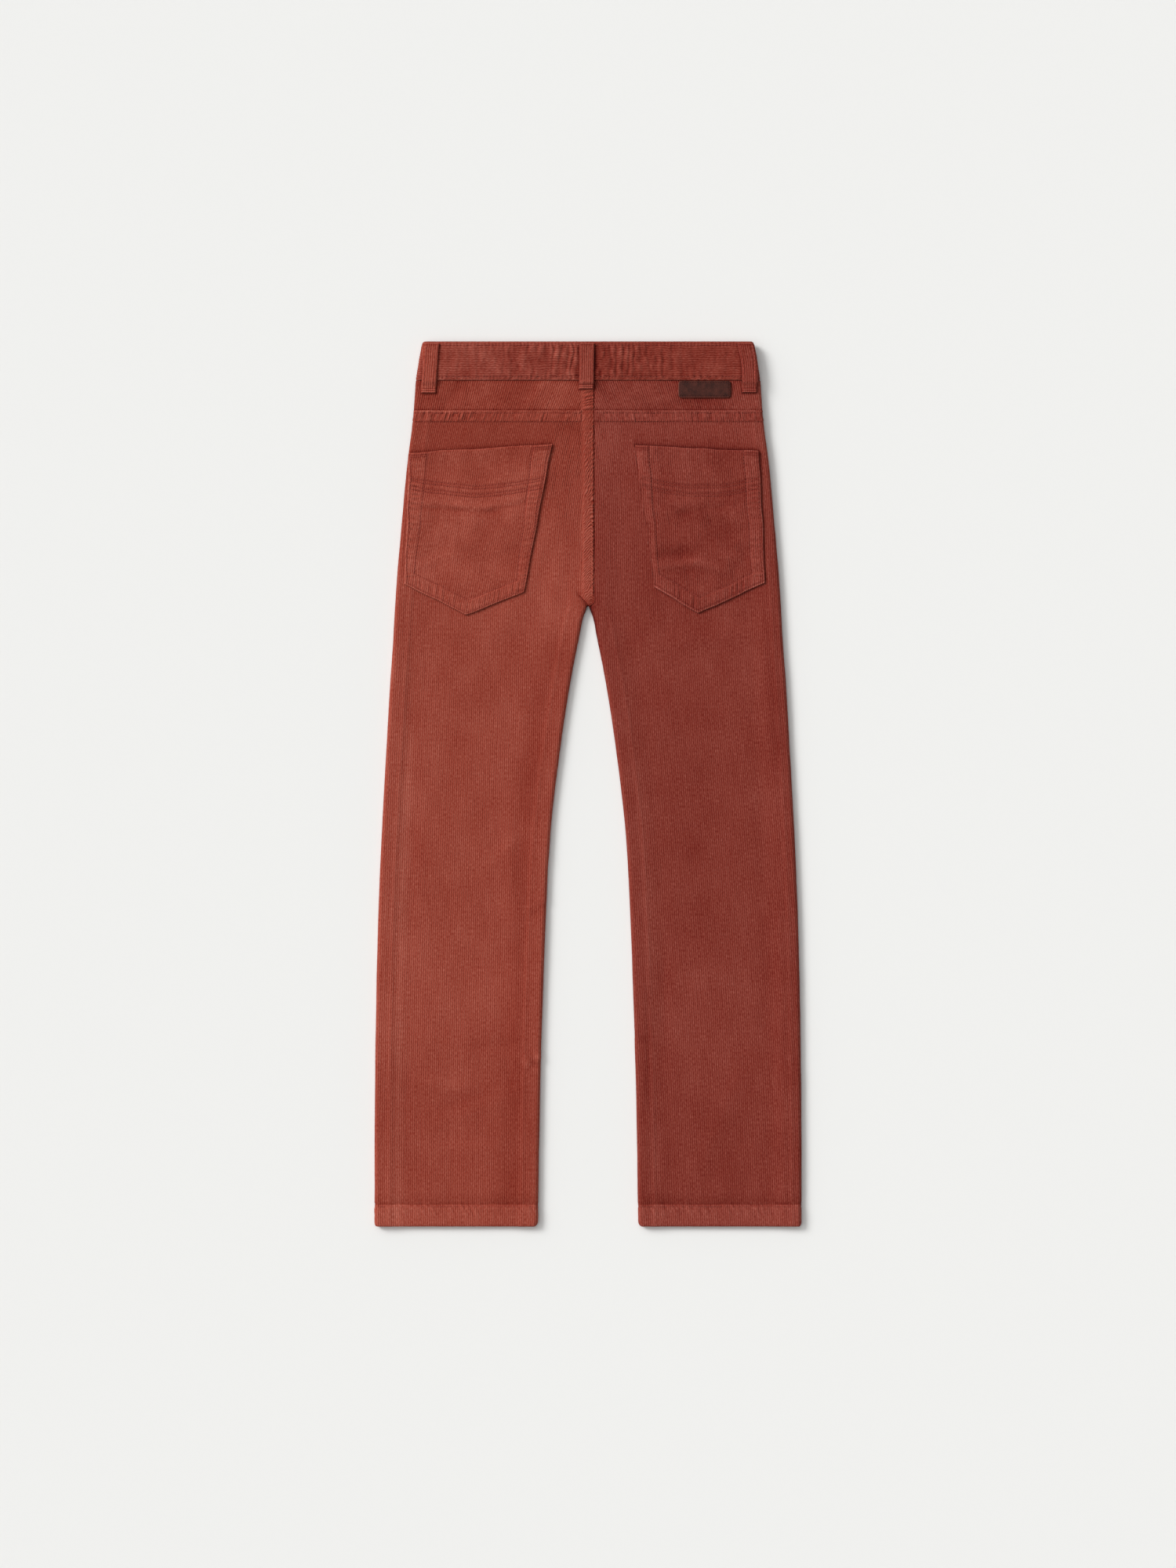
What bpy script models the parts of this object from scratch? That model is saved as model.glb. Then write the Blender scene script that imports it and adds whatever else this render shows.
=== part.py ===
"""Child's corduroy trousers, laid flat with the back upwards.

The front lies on the plane z = 0. +Y runs from the hems to the waist, +X is the wearer's right and
+Z points out of the back. The origin is on that plane, under the middle of the length and width.

Sizes are in millimetres and become metres when a mesh is made. A place on the garment is given by
`along`, its distance from the centre line measured along the cloth, and `up`, its height above the
hems. Every piece is a wall between two sheets of points, and what is sewn on a panel is made from
that panel's points, moved outwards.
"""

import math

import bpy
import numpy as np

MM = 0.001

# ---------------------------------------------------------------- sizes of the garment

LENGTH = 760.0
CROTCH_UP = 534.0
YOKE_SEAM_UP = 700.8
BAND_BOTTOM_UP = 726.4
HEM_DEEP = 18.8
FRONT_DIP = 8.0  # how much lower the waist is at the centre front
FRONT_DIP_FROM_UP = 554.0

CLOTH = 1.4  # one thickness of corduroy
HEM_CLOTH = 2.6  # where the hem is turned up
BAND_CLOTH = 2.8  # the waistband: two cloths and what stiffens it
BAND_PROUD = 1.4  # how far the waistband stands out from the panels below it
SEAM_GAP = 0.3

EDGE_ROLL = 3.4  # plan width of the rolled edge where the back turns into the front
EDGE_FULL = 6.0  # beside an edge, the seam allowances keep the legs this far at full height
EDGE_FADE = 30.0  # and from here on they lie at the middle's height
INSEAM_FADE_UP = (504.0, 579.0)  # the inseams' full height fades out between these heights
HEM_STEP = 0.7  # the turned-up hem is thicker than the leg above it
HEM_RAMP = 1.6
HEM_FOLD = 0.9  # how much the fold at the very bottom is rounded, on each side
HEM_CORNER = 5.0  # how far up the hem's corners are rounded
HEM_CORNER_INSEAM = 1.6
HEM_CORNER_SIDE = 0.7
WAIST_CORNER = 3.0
WAIST_CORNER_INSET = 0.8

# The front lies on the floor up to the seat, and rises over the belt loops and button under it.
REST_TO_UP = 540.0
RAISED_FROM_UP = 690.0
LOOP_CLOTH = 2.0
FRONT_RAISED = LOOP_CLOTH + SEAM_GAP + BAND_PROUD

# The back seam is felled: the left half laps over the right in a ridge.
SEAM_X = 4.9
SEAM_STRAIGHT_FROM_UP = 566.0
FELL_WIDE = 10.0
FELL_RAMP = 1.2
FELL_RISE = 0.8
YOKE_LAP_DEEP = 9.4  # the legs lap over the yokes in the same way
YOKE_LAP_RISE = 0.5
YOKE_ROWS = 4
FELL_FADE_UP = (540.0, 560.0)  # the ridge fades out between these heights
CROTCH_FOLD = 18.0  # the centre seam sinks over this length, down to the crotch point

# up: height above the hems. outer: half the garment's width. inner: from the centre line to the leg.
# middle and edge: height of the back's face above the floor, in the panel's middle and at its edges.


def table(names, rows):
    """A short table as one array for each named column."""
    return dict(zip(names.split(), np.array(rows, dtype=float).T))


OUTLINE = table("up outer inner", (
    (0.0, 183.5, 43.0),
    (110.0, 183.0, 41.2),
    (186.0, 182.1, 39.2),
    (261.0, 180.4, 36.4),
    (337.0, 177.2, 32.3),
    (412.0, 173.1, 23.6),
    (469.0, 169.8, 14.8),
    (506.0, 167.1, 7.6),
    (525.0, 166.1, 3.6),
    (534.0, 165.6, 0.0),
    (615.0, 159.0, 0.0),
    (656.0, 155.0, 0.0),
    (688.0, 150.9, 0.0),
    (701.0, 149.6, 0.0),
    (727.0, 147.8, 0.0),
    (760.0, 142.2, 0.0),
))

THICKNESS = table("up middle edge", (
    (0.0, 5.0, 6.2),
    (60.0, 4.6, 6.2),
    (300.0, 4.5, 6.3),
    (480.0, 4.8, 6.5),
    (560.0, 5.3, 6.7),
    (620.0, 6.1, 7.0),
    (670.0, 7.0, 7.3),
    (701.0, 7.4, 7.5),
    (760.0, 7.5, 7.5),
))

# Soft creases pressed into the back of the legs and seat, each from one point to another.
CREASES = table("x_low up_low x_high up_high rise spread", (
    (-169.0, 20.0, -168.0, 170.0, 0.5, 6.0),
    (-155.0, 250.0, -152.0, 530.0, -0.5, 7.0),
    (-60.0, 130.0, -66.0, 330.0, 0.5, 7.0),
    (-134.0, 160.0, -86.0, 146.0, 0.4, 7.0),
    (-110.0, 96.0, -68.0, 112.0, 0.4, 7.0),
    (-40.0, 470.0, -26.0, 560.0, 0.4, 8.0),
    (-72.0, 522.0, -30.0, 600.0, 0.4, 9.0),
    (168.0, 20.0, 165.0, 260.0, 0.5, 6.0),
    (58.0, 60.0, 64.0, 210.0, -0.4, 7.0),
    (100.0, 60.0, 122.0, 110.0, 0.4, 8.0),
    (24.0, 540.0, 28.0, 650.0, -0.4, 9.0),
    (70.0, 500.0, 150.0, 512.0, 0.4, 8.0),
))

# ---------------------------------------------------------------- sizes of the sewn-on pieces

POCKET_CLOTH = 1.3
POCKET_SLACK = 0.1  # further off the panel than a seam's gap
POCKET_BORDER_RISE = 0.4  # along its edges the cloth is turned under, so it is thicker
POCKET_BORDER_RAMP = 1.4
POCKET_MOUTH_RISE = 0.5  # the open top edge stands off a little
POCKET_MOUTH_DEEP = 14.0

# One row for each corner: how far from the centre line, and how high.
POCKET_LEFT = table("along up", (
    (-158.0, 552.1),  # outer, bottom
    (-104.8, 525.2),  # tip
    (-55.0, 544.4),  # inner, bottom
    (-153.2, 664.5),  # outer, top
    (-30.8, 671.9),  # inner, top
))
POCKET_RIGHT = table("along up", (
    (151.6, 552.8),
    (95.0, 526.5),
    (56.7, 548.8),
    (147.5, 665.8),
    (39.9, 670.6),
))
# Width of the turned-under border along each side, which narrows downwards.
POCKET_BORDER = table("top bottom", (
    (15.5, 7.5),  # outer side
    (15.5, 7.5),  # inner side
))
POCKET_BORDER_BELOW = 12.0

LOOP_WIDE = 12.8
LOOP_TOP_UP = 758.0
# along_low, along_high: the loop's middle at its ends. up_low: its lower end.
BACK_LOOPS = {
    "left": table("along_low along_high up_low", ((-136.6, -133.4, 715.6),)),
    "centre": table("along_low along_high up_low", ((-1.7, -0.8, 719.0),)),
    "right": table("along_low along_high up_low", ((137.4, 134.0, 715.9),)),
}
LOOP_CLIMB = 5.0  # over this length a loop climbs on to the waistband's edge
LOOP_END = 1.5
FRONT_LOOP_ALONG = 78.0
FRONT_LOOP_LOW = 11.0  # how far the front loops reach below the waistband

PATCH_LEFT, PATCH_RIGHT = 77.4, 122.7
PATCH_DEEP = 14.6
PATCH_CORNER = 2.8
PATCH_CLOTH = 1.4

FLY_LEFT, FLY_RIGHT = -28.0, 3.0
FLY_LOW_UP = 616.0
FLY_CORNER = 14.0
FLY_CLOTH = 1.3

BAND_LAP = 12.0  # the front waistband's ends lap this far each side of the centre line
BUTTON_RADIUS = 7.5
BUTTON_THICK = 2.0

# The elastic gathers the back waistband, tightly beside the centre loop and loosely at the sides.
GATHERS = 17  # on each side of the loop
GATHER_FROM = 8.0
GATHER_TO = 127.0
GATHER_PITCH_NEAR = 5.0
GATHER_PITCH_FAR = 9.0
GATHER_UNEVEN_PITCH = (0.72, 1.3)
GATHER_UNEVEN_HEIGHT = (0.3, 1.0)
GATHER_HEIGHT = 1.1
GATHER_SPREAD = 70.0
GATHER_LEAST = 0.3
GATHER_COLUMNS = 4  # columns of points in each gather

ROLL_STEPS = 3  # columns of faces round a rolled edge
SOFT_EDGE = 0.5  # how much a folded edge is rounded


# ---------------------------------------------------------------- curves


def smooth_value(columns, name, at):
    """One column of a table at any height: a cubic through its rows with the rows' mean slopes."""
    knots, values = columns["up"], columns[name]
    slopes = np.gradient(values, knots)
    at = np.clip(at, knots[0], knots[-1])
    low = np.clip(np.searchsorted(knots, at) - 1, 0, len(knots) - 2)
    span = knots[low + 1] - knots[low]
    t = (at - knots[low]) / span
    return (
        values[low] * (1 + 2 * t) * (1 - t) ** 2
        + values[low + 1] * (3 - 2 * t) * t**2
        + slopes[low] * span * t * (1 - t) ** 2
        - slopes[low + 1] * span * (1 - t) * t**2
    )


def ease(value, start, end):
    """0 before start, 1 after end, with a smooth change between them."""
    t = np.clip((value - start) / (end - start), 0.0, 1.0)
    return t * t * (3 - 2 * t)


def outer_edge(up):
    """Half the garment's width, with the corners of hem and waist rounded."""
    corner = HEM_CORNER_SIDE * (1 - np.clip(up / HEM_CORNER, 0, 1)) ** 2
    waist = WAIST_CORNER_INSET * np.clip((up - LENGTH + WAIST_CORNER) / WAIST_CORNER, 0, 1) ** 2
    return smooth_value(OUTLINE, "outer", up) - corner - waist


def seam_x(up):
    """Where the two halves of the back meet, right of the centre line above the crotch."""
    return SEAM_X * ease(up, CROTCH_UP, SEAM_STRAIGHT_FROM_UP)


def inner_edge(face, side, up):
    """A leg's inner edge, or above the crotch the centre seam, as a distance on the leg's side."""
    corner = HEM_CORNER_INSEAM * (1 - np.clip(up / HEM_CORNER, 0, 1)) ** 2
    leg = np.maximum(smooth_value(OUTLINE, "inner", up), 0.0) + corner
    seam = side * seam_x(up) if face == "back" else 0.0
    return np.where(up < CROTCH_UP, leg, seam) + SEAM_GAP / 2


# ---------------------------------------------------------------- the two faces

OUTWARD = {"back": 1.0, "front": -1.0}


def front_height(up):
    """Height of the front's face: on the floor along the legs, raised over the loops above."""
    return FRONT_RAISED * ease(up, REST_TO_UP, RAISED_FROM_UP)


def crease_height(x, up):
    """All the soft creases: each a ridge or trough, fading out sideways and past its ends."""
    total = np.zeros(np.broadcast(x, up).shape)
    for x0, up0, x1, up1, rise, spread in zip(*CREASES.values()):
        length = math.hypot(x1 - x0, up1 - up0)
        ahead = ((x - x0) * (x1 - x0) + (up - up0) * (up1 - up0)) / length
        aside = ((x - x0) * (up1 - up0) - (up - up0) * (x1 - x0)) / length
        past = np.maximum(np.maximum(-ahead, ahead - length), 0.0)
        total += rise * np.exp(-(aside**2) / spread**2 - past**2 / (3 * spread) ** 2)
    return total


def back_height(x, up):
    """Height of the back's face: thicker at its edges, with the hem, seams and creases raised."""
    middle = smooth_value(THICKNESS, "middle", up)
    edge = smooth_value(THICKNESS, "edge", up)
    to_side = outer_edge(up) - np.abs(x)
    to_inseam = np.abs(x) - np.maximum(smooth_value(OUTLINE, "inner", up), 0.0)
    below_crotch = 1 - ease(up, *INSEAM_FADE_UP)
    near = np.maximum(
        1 - ease(to_side, EDGE_FULL, EDGE_FADE),
        (1 - ease(to_inseam, EDGE_FULL, EDGE_FADE)) * below_crotch,
    )
    fell = ease(x, SEAM_X - FELL_WIDE - FELL_RAMP, SEAM_X - FELL_WIDE) * (x < seam_x(up))
    fell = fell * ease(up, *FELL_FADE_UP) * (up < BAND_BOTTOM_UP)
    lap = ease(up, YOKE_SEAM_UP - YOKE_LAP_DEEP - FELL_RAMP, YOKE_SEAM_UP - YOKE_LAP_DEEP)
    lap = lap * (up < YOKE_SEAM_UP)
    hem = 1 - ease(up, HEM_DEEP - HEM_RAMP, HEM_DEEP)
    return (
        middle
        + (edge - middle) * near
        + np.maximum(FELL_RISE * fell, YOKE_LAP_RISE * lap)
        + HEM_STEP * hem
        + crease_height(x, up)
    )


def height(face, x, up):
    """Height above the floor of either face."""
    return back_height(x, up) if face == "back" else front_height(up)


def meeting_height(up):
    """Height of the line along which front and back are joined, halfway through the edge."""
    under = front_height(up)
    return under + (smooth_value(THICKNESS, "edge", up) - under) / 2


def place(face, along, up, lift, inset=0.0):
    """Points of one face, moved outwards by lift. Past its flat part the cloth rolls over the edge
    as a quarter of an ellipse, down or up to the line where front and back meet."""
    along, up, lift, inset = np.broadcast_arrays(along, up, lift, inset)
    out = OUTWARD[face]
    side = np.where(along < 0, -1.0, 1.0)
    flat_end = outer_edge(up) - EDGE_ROLL - inset
    on_flat = np.minimum(np.abs(along), flat_end)
    turn = np.clip((np.abs(along) - flat_end) / EDGE_ROLL, 0.0, math.pi / 2)
    seam = meeting_height(up) + out * SEAM_GAP / 2
    rise = np.abs(height(face, side * on_flat, up) - seam) + lift
    x = side * (on_flat + (EDGE_ROLL + lift) * np.sin(turn))
    return np.stack((x, up, seam + out * rise * np.cos(turn)), axis=-1)


def place_inseam(face, side, turn, up, lift):
    """Points of a leg's inner edge. Below the crotch the cloth rolls to the meeting line by the
    angle `turn`, and above it the roll eases away into the flat centre seam."""
    turn, up, lift = np.broadcast_arrays(turn, up, lift)
    out = OUTWARD[face]
    rolled = 1 - ease(up, CROTCH_UP, CROTCH_UP + CROTCH_FOLD)
    centre = inner_edge(face, side, up) + EDGE_ROLL
    seam = meeting_height(up) + out * SEAM_GAP / 2
    rise = np.abs(height(face, side * centre, up) - seam) + lift
    rolled_x = centre - (EDGE_ROLL + lift) * np.sin(turn)
    rolled_z = seam + out * rise * np.cos(turn)
    flat_x = centre - EDGE_ROLL * np.sin(turn)
    flat_z = height(face, side * flat_x, up) + out * lift
    x = flat_x + (rolled_x - flat_x) * rolled
    z = flat_z + (rolled_z - flat_z) * rolled
    return np.stack((side * x, up, z), axis=-1)


# ---------------------------------------------------------------- solids


def wall(name, outside, inside, material, collection):
    """A closed solid between two sheets of points of the same rows and columns."""
    rows, columns = outside.shape[:2]
    count = rows * columns
    index = np.arange(count).reshape(rows, columns)
    middle = np.array((0.0, LENGTH / 2, 0.0))
    points = np.concatenate((outside.reshape(-1, 3), inside.reshape(-1, 3))) - middle

    def quads(a, b, c, d):
        return np.stack((a, b, c, d), axis=-1).reshape(-1, 4)

    front = quads(index[:-1, :-1], index[:-1, 1:], index[1:, 1:], index[1:, :-1])
    rim = np.concatenate((index[0, :], index[1:, -1], index[-1, -2::-1], index[-2:0:-1, 0]))
    ring = np.roll(rim, -1)
    faces = np.concatenate((
        front,
        front[:, ::-1] + count,
        quads(ring, rim, rim + count, ring + count),
    ))
    mesh = bpy.data.meshes.new(name)
    mesh.from_pydata((points * MM).tolist(), [], faces.tolist())
    mesh.update()
    if signed_volume(points, faces) < 0:
        mesh.flip_normals()
    return add_object(name, mesh, material, collection)


def signed_volume(points, faces):
    """Volume inside the faces, negative where they point inwards."""
    a, b, c, d = (points[faces[:, k]] for k in range(4))
    first = np.einsum("ij,ij->i", a, np.cross(b, c)).sum()
    return (first + np.einsum("ij,ij->i", a, np.cross(c, d)).sum()) / 6


def add_object(name, mesh, material, collection):
    """One named piece with its own material, shaded smooth but for its sharp edges."""
    mesh.shade_smooth()
    mesh.set_sharp_from_angle(angle=math.radians(40))
    mesh.materials.append(material)
    piece = bpy.data.objects.new(name, mesh)
    collection.objects.link(piece)
    return piece


def round_corners(across, along, wide, deep, radius, corners):
    """Moves the points of a rectangle so that the named corners become arcs: a point in a corner's
    square keeps its larger distance from the arc's centre, and takes it as its true distance."""
    across, along = across.copy(), along.copy()
    for right, top in corners:
        centre_a = wide - radius if right else radius
        centre_b = deep - radius if top else radius
        da, db = across - centre_a, along - centre_b
        here = ((da > 0) == right) & ((db > 0) == top) & (da != 0) & (db != 0)
        scale = np.maximum(np.abs(da), np.abs(db)) / np.maximum(np.hypot(da, db), 1e-9)
        across = np.where(here, centre_a + da * scale, across)
        along = np.where(here, centre_b + db * scale, along)
    return across, along


# ---------------------------------------------------------------- panels

# Heights of the rows of points: close together at the folds, seams and crotch, and wide between.
HEM_FOLD_UPS = (0.0, 0.8, 2.4)
HEM_TOP_UPS = (HEM_DEEP - HEM_RAMP, HEM_DEEP)
LAP_TOP_UPS = (YOKE_SEAM_UP - YOKE_LAP_DEEP - FELL_RAMP, YOKE_SEAM_UP - YOKE_LAP_DEEP)
LEG_UPS = {
    "back": np.array((
        *HEM_FOLD_UPS, *HEM_TOP_UPS, 21.5, 45.0, 85.0, 125.0, 165.0, 210.0, 260.0, 310.0, 360.0,
        405.0, 445.0, 478.0, 502.0, 517.0, 526.0, 531.5, CROTCH_UP, 538.0, 543.0, 548.0, 554.0,
        562.0, 585.0, 615.0, 645.0, 672.0, *LAP_TOP_UPS, YOKE_SEAM_UP - SEAM_GAP / 2,
    )),
    "front": np.array((
        *HEM_FOLD_UPS, *HEM_TOP_UPS, 70.0, 130.0, 190.0, 250.0, 310.0, 370.0, 425.0, 470.0, 502.0,
        520.0, 530.0, CROTCH_UP, 540.0, 547.0, 556.0, 580.0, 605.0, 630.0, 655.0, 690.0,
        BAND_BOTTOM_UP - SEAM_GAP,
    )),
}
# Columns of points: how far in from the two edges, and their shares of what lies between.
FROM_INSEAM = {
    "back": np.array((FELL_WIDE, FELL_WIDE + FELL_RAMP, 20.0, 30.0)),
    "front": np.array((12.0, 30.0)),
}
FROM_SIDE = {"back": np.array((30.0, 20.0, 10.0)), "front": np.array((30.0, 12.0))}
MIDDLE_COLUMNS = {"back": np.array((0.33, 0.67)), "front": np.array((0.5,))}


def front_dip(along, up):
    """How far the front's waist lies below the back's, most at the centre, none at the sides."""
    share = 1 - np.clip(np.abs(along) / outer_edge(up), 0, 1) ** 2
    return FRONT_DIP * share * ease(up, FRONT_DIP_FROM_UP, BAND_BOTTOM_UP)


def panel_sheet(face, side, ups, lift):
    """One sheet of a panel's points, from the inseam or centre seam out to the side edge."""
    up = ups[:, None]
    lift = np.asarray(lift)[:, None]
    start = inner_edge(face, side, up)
    end = outer_edge(up)
    low, high = start + FROM_INSEAM[face][-1], end - FROM_SIDE[face][0]
    flat = np.concatenate((
        start + FROM_INSEAM[face],
        low + (high - low) * MIDDLE_COLUMNS[face],
        end - FROM_SIDE[face],
    ), axis=1)
    turns = np.linspace(math.pi / 2, 0.0, ROLL_STEPS + 1)
    over = end - EDGE_ROLL + turns[::-1] * EDGE_ROLL
    inseam = place_inseam(face, side, turns, up, lift)
    rest = place(face, side * np.concatenate((flat, over), axis=1), up, lift)
    points = np.concatenate((inseam, rest), axis=1)
    if face == "front":
        points[..., 1] -= front_dip(points[..., 0], points[..., 1])
    return points


def folded_lifts(ups, cloth):
    """Lifts of the outer and inner sheet near a folded bottom edge, which is rounded."""
    near = np.interp(ups, HEM_FOLD_UPS, (1.0, 0.3, 0.0))
    return -HEM_FOLD * near, -cloth + HEM_FOLD * near


def leg_panel(face, side_name, side, material, collection):
    """A back or front leg, from its turned-up hem to the yoke or the waistband."""
    ups = LEG_UPS[face]
    cloth = CLOTH + (HEM_CLOTH - CLOTH) * (1 - ease(ups, HEM_DEEP - HEM_RAMP, HEM_DEEP))
    outer_lift, inner_lift = folded_lifts(ups, cloth)
    return wall(
        f"{face}_leg_{side_name}",
        panel_sheet(face, side, ups, outer_lift),
        panel_sheet(face, side, ups, inner_lift),
        material,
        collection,
    )


def yoke(side_name, side, material, collection):
    """The shaped band of cloth between a back leg and the waistband."""
    low, high = YOKE_SEAM_UP + SEAM_GAP / 2, BAND_BOTTOM_UP - SEAM_GAP
    ups = np.linspace(low, high, YOKE_ROWS)
    return wall(
        f"back_yoke_{side_name}",
        panel_sheet("back", side, ups, np.zeros(len(ups))),
        panel_sheet("back", side, ups, np.full(len(ups), -CLOTH)),
        material,
        collection,
    )


# ---------------------------------------------------------------- waistband

BAND_UPS = np.array((BAND_BOTTOM_UP, BAND_BOTTOM_UP + 1.8, 742.0, LENGTH - 2.4, LENGTH))
BAND_EDGE = np.array((SOFT_EDGE, 0.0, 0.0, 0.3, 1.1))  # how much each row of points is rounded off
BAND_GATHERED = np.array((0.5, 0.8, 1.0, 0.8, 0.4))  # share of the gathers' height in each row
BAND_FRONT_COLUMNS = np.array((35.0, 60.0, 90.0, 120.0))


def gathers(random):
    """Places across one side of the back waistband and how far each stands out. Each gather is one
    wave of a cosine, of its own width and height, lower and wider away from the centre loop."""
    pitch = np.linspace(GATHER_PITCH_NEAR, GATHER_PITCH_FAR, GATHERS)
    pitch = pitch * random.uniform(*GATHER_UNEVEN_PITCH, GATHERS)
    starts = np.concatenate(((0.0,), np.cumsum(pitch)))
    starts = GATHER_FROM + starts * (GATHER_TO - GATHER_FROM) / starts[-1]
    tall = random.uniform(*GATHER_UNEVEN_HEIGHT, GATHERS + 1)
    phase = np.arange(GATHERS * GATHER_COLUMNS + 1) / GATHER_COLUMNS
    along = np.interp(phase, np.arange(GATHERS + 1), starts)
    fade = GATHER_LEAST + (1 - GATHER_LEAST) * np.exp(-(along / GATHER_SPREAD) ** 2)
    wave = 0.5 - 0.5 * np.cos(2 * math.pi * phase)
    return along, GATHER_HEIGHT * fade * wave * tall[phase.astype(int)]


def waistband_back(material, collection):
    """The back waistband, gathered on its outside and plain inside."""
    random = np.random.default_rng(14)
    left_along, left_lift = gathers(random)
    right_along, right_lift = gathers(random)
    flat = np.concatenate((-left_along[::-1], (0.0,), right_along))
    lift = np.concatenate((left_lift[::-1], (0.0,), right_lift))
    end = outer_edge(BAND_UPS)[:, None] - EDGE_ROLL - BAND_PROUD
    over = end + np.linspace(0.0, math.pi / 2, ROLL_STEPS + 1) * EDGE_ROLL
    rows = len(BAND_UPS)
    along = np.concatenate((-over[:, ::-1], np.tile(flat, (rows, 1)), over), axis=1)
    plain = np.zeros(over.shape[1])
    lift = np.concatenate((plain, lift, plain))
    up = BAND_UPS[:, None]
    outer_lift = BAND_PROUD + lift * BAND_GATHERED[:, None] - BAND_EDGE[:, None]
    inner_lift = BAND_PROUD - BAND_CLOTH + BAND_EDGE[:, None] / 2
    return wall(
        "waistband_back",
        place("back", along, up, outer_lift, BAND_PROUD),
        place("back", along, up, inner_lift, BAND_PROUD),
        material,
        collection,
    )


def waistband_front(side_name, side, material, collection):
    """Half of the front waistband. Over the lap the left end takes the outer part of the
    thickness and the right end the inner part."""
    tip, thin_to, full_from = BAND_LAP, -BAND_LAP - SEAM_GAP, -BAND_LAP - 2 * SEAM_GAP
    near = -side * np.array((tip, thin_to, full_from))
    flat = np.concatenate((near, side * BAND_FRONT_COLUMNS))
    end = outer_edge(BAND_UPS)[:, None] - EDGE_ROLL - BAND_PROUD
    over = side * (end + np.linspace(0.0, math.pi / 2, ROLL_STEPS + 1) * EDGE_ROLL)
    along = np.concatenate((np.tile(flat, (len(BAND_UPS), 1)), over), axis=1)
    in_lap = np.zeros(along.shape[1])
    in_lap[:2] = 1.0
    middle = BAND_PROUD - BAND_CLOTH / 2
    outer_lift, inner_lift = BAND_PROUD, BAND_PROUD - BAND_CLOTH
    if side < 0:
        inner_lift = inner_lift + (middle + SEAM_GAP / 2 - inner_lift) * in_lap
    else:
        outer_lift = outer_lift + (middle - SEAM_GAP / 2 - outer_lift) * in_lap
    edge = np.minimum(BAND_EDGE, SOFT_EDGE)[:, None] / 2
    up = BAND_UPS[:, None]
    outside = place("front", along, up, outer_lift - edge, BAND_PROUD)
    inside = place("front", along, up, inner_lift + edge, BAND_PROUD)
    for sheet in (outside, inside):
        sheet[..., 1] -= front_dip(sheet[..., 0], np.full(sheet.shape[:2], BAND_BOTTOM_UP))
    return wall(f"waistband_front_{side_name}", outside, inside, material, collection)


# ---------------------------------------------------------------- pieces sewn on


def loop_columns():
    """Places across a belt loop, closer at its rounded edges."""
    half = LOOP_WIDE / 2
    return np.array((-half, -half + SOFT_EDGE, -half / 3, half / 3, half - SOFT_EDGE, half))


def belt_loop(name, face, low, high, up_low, up_high, material, collection):
    """A strip from the top of the waistband down over its lower edge on to the cloth below."""
    across = loop_columns()
    band = BAND_BOTTOM_UP - (front_dip(low, BAND_BOTTOM_UP) if face == "front" else 0.0)
    climb = (band - LOOP_CLIMB, band - 2 * SEAM_GAP)
    middle = (band + up_high) / 2
    ups = np.array((up_low, up_low + LOOP_END, *climb, middle, up_high - LOOP_END, up_high))
    share = ((ups - up_low) / (up_high - up_low))[:, None]
    along = low + (high - low) * share + across[None, :]
    on_band = ease(ups, *climb)[:, None]
    seat = SEAM_GAP + BAND_PROUD * on_band
    edge = SOFT_EDGE * (np.abs(across) == LOOP_WIDE / 2)[None, :]
    ends = SOFT_EDGE * ((ups == up_low) | (ups == up_high))[:, None]
    inset = BAND_PROUD * on_band
    up = ups[:, None]
    return wall(
        name,
        place(face, along, up, seat + LOOP_CLOTH - edge - ends, inset),
        place(face, along, up, seat, inset),
        material,
        collection,
    )


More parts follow.
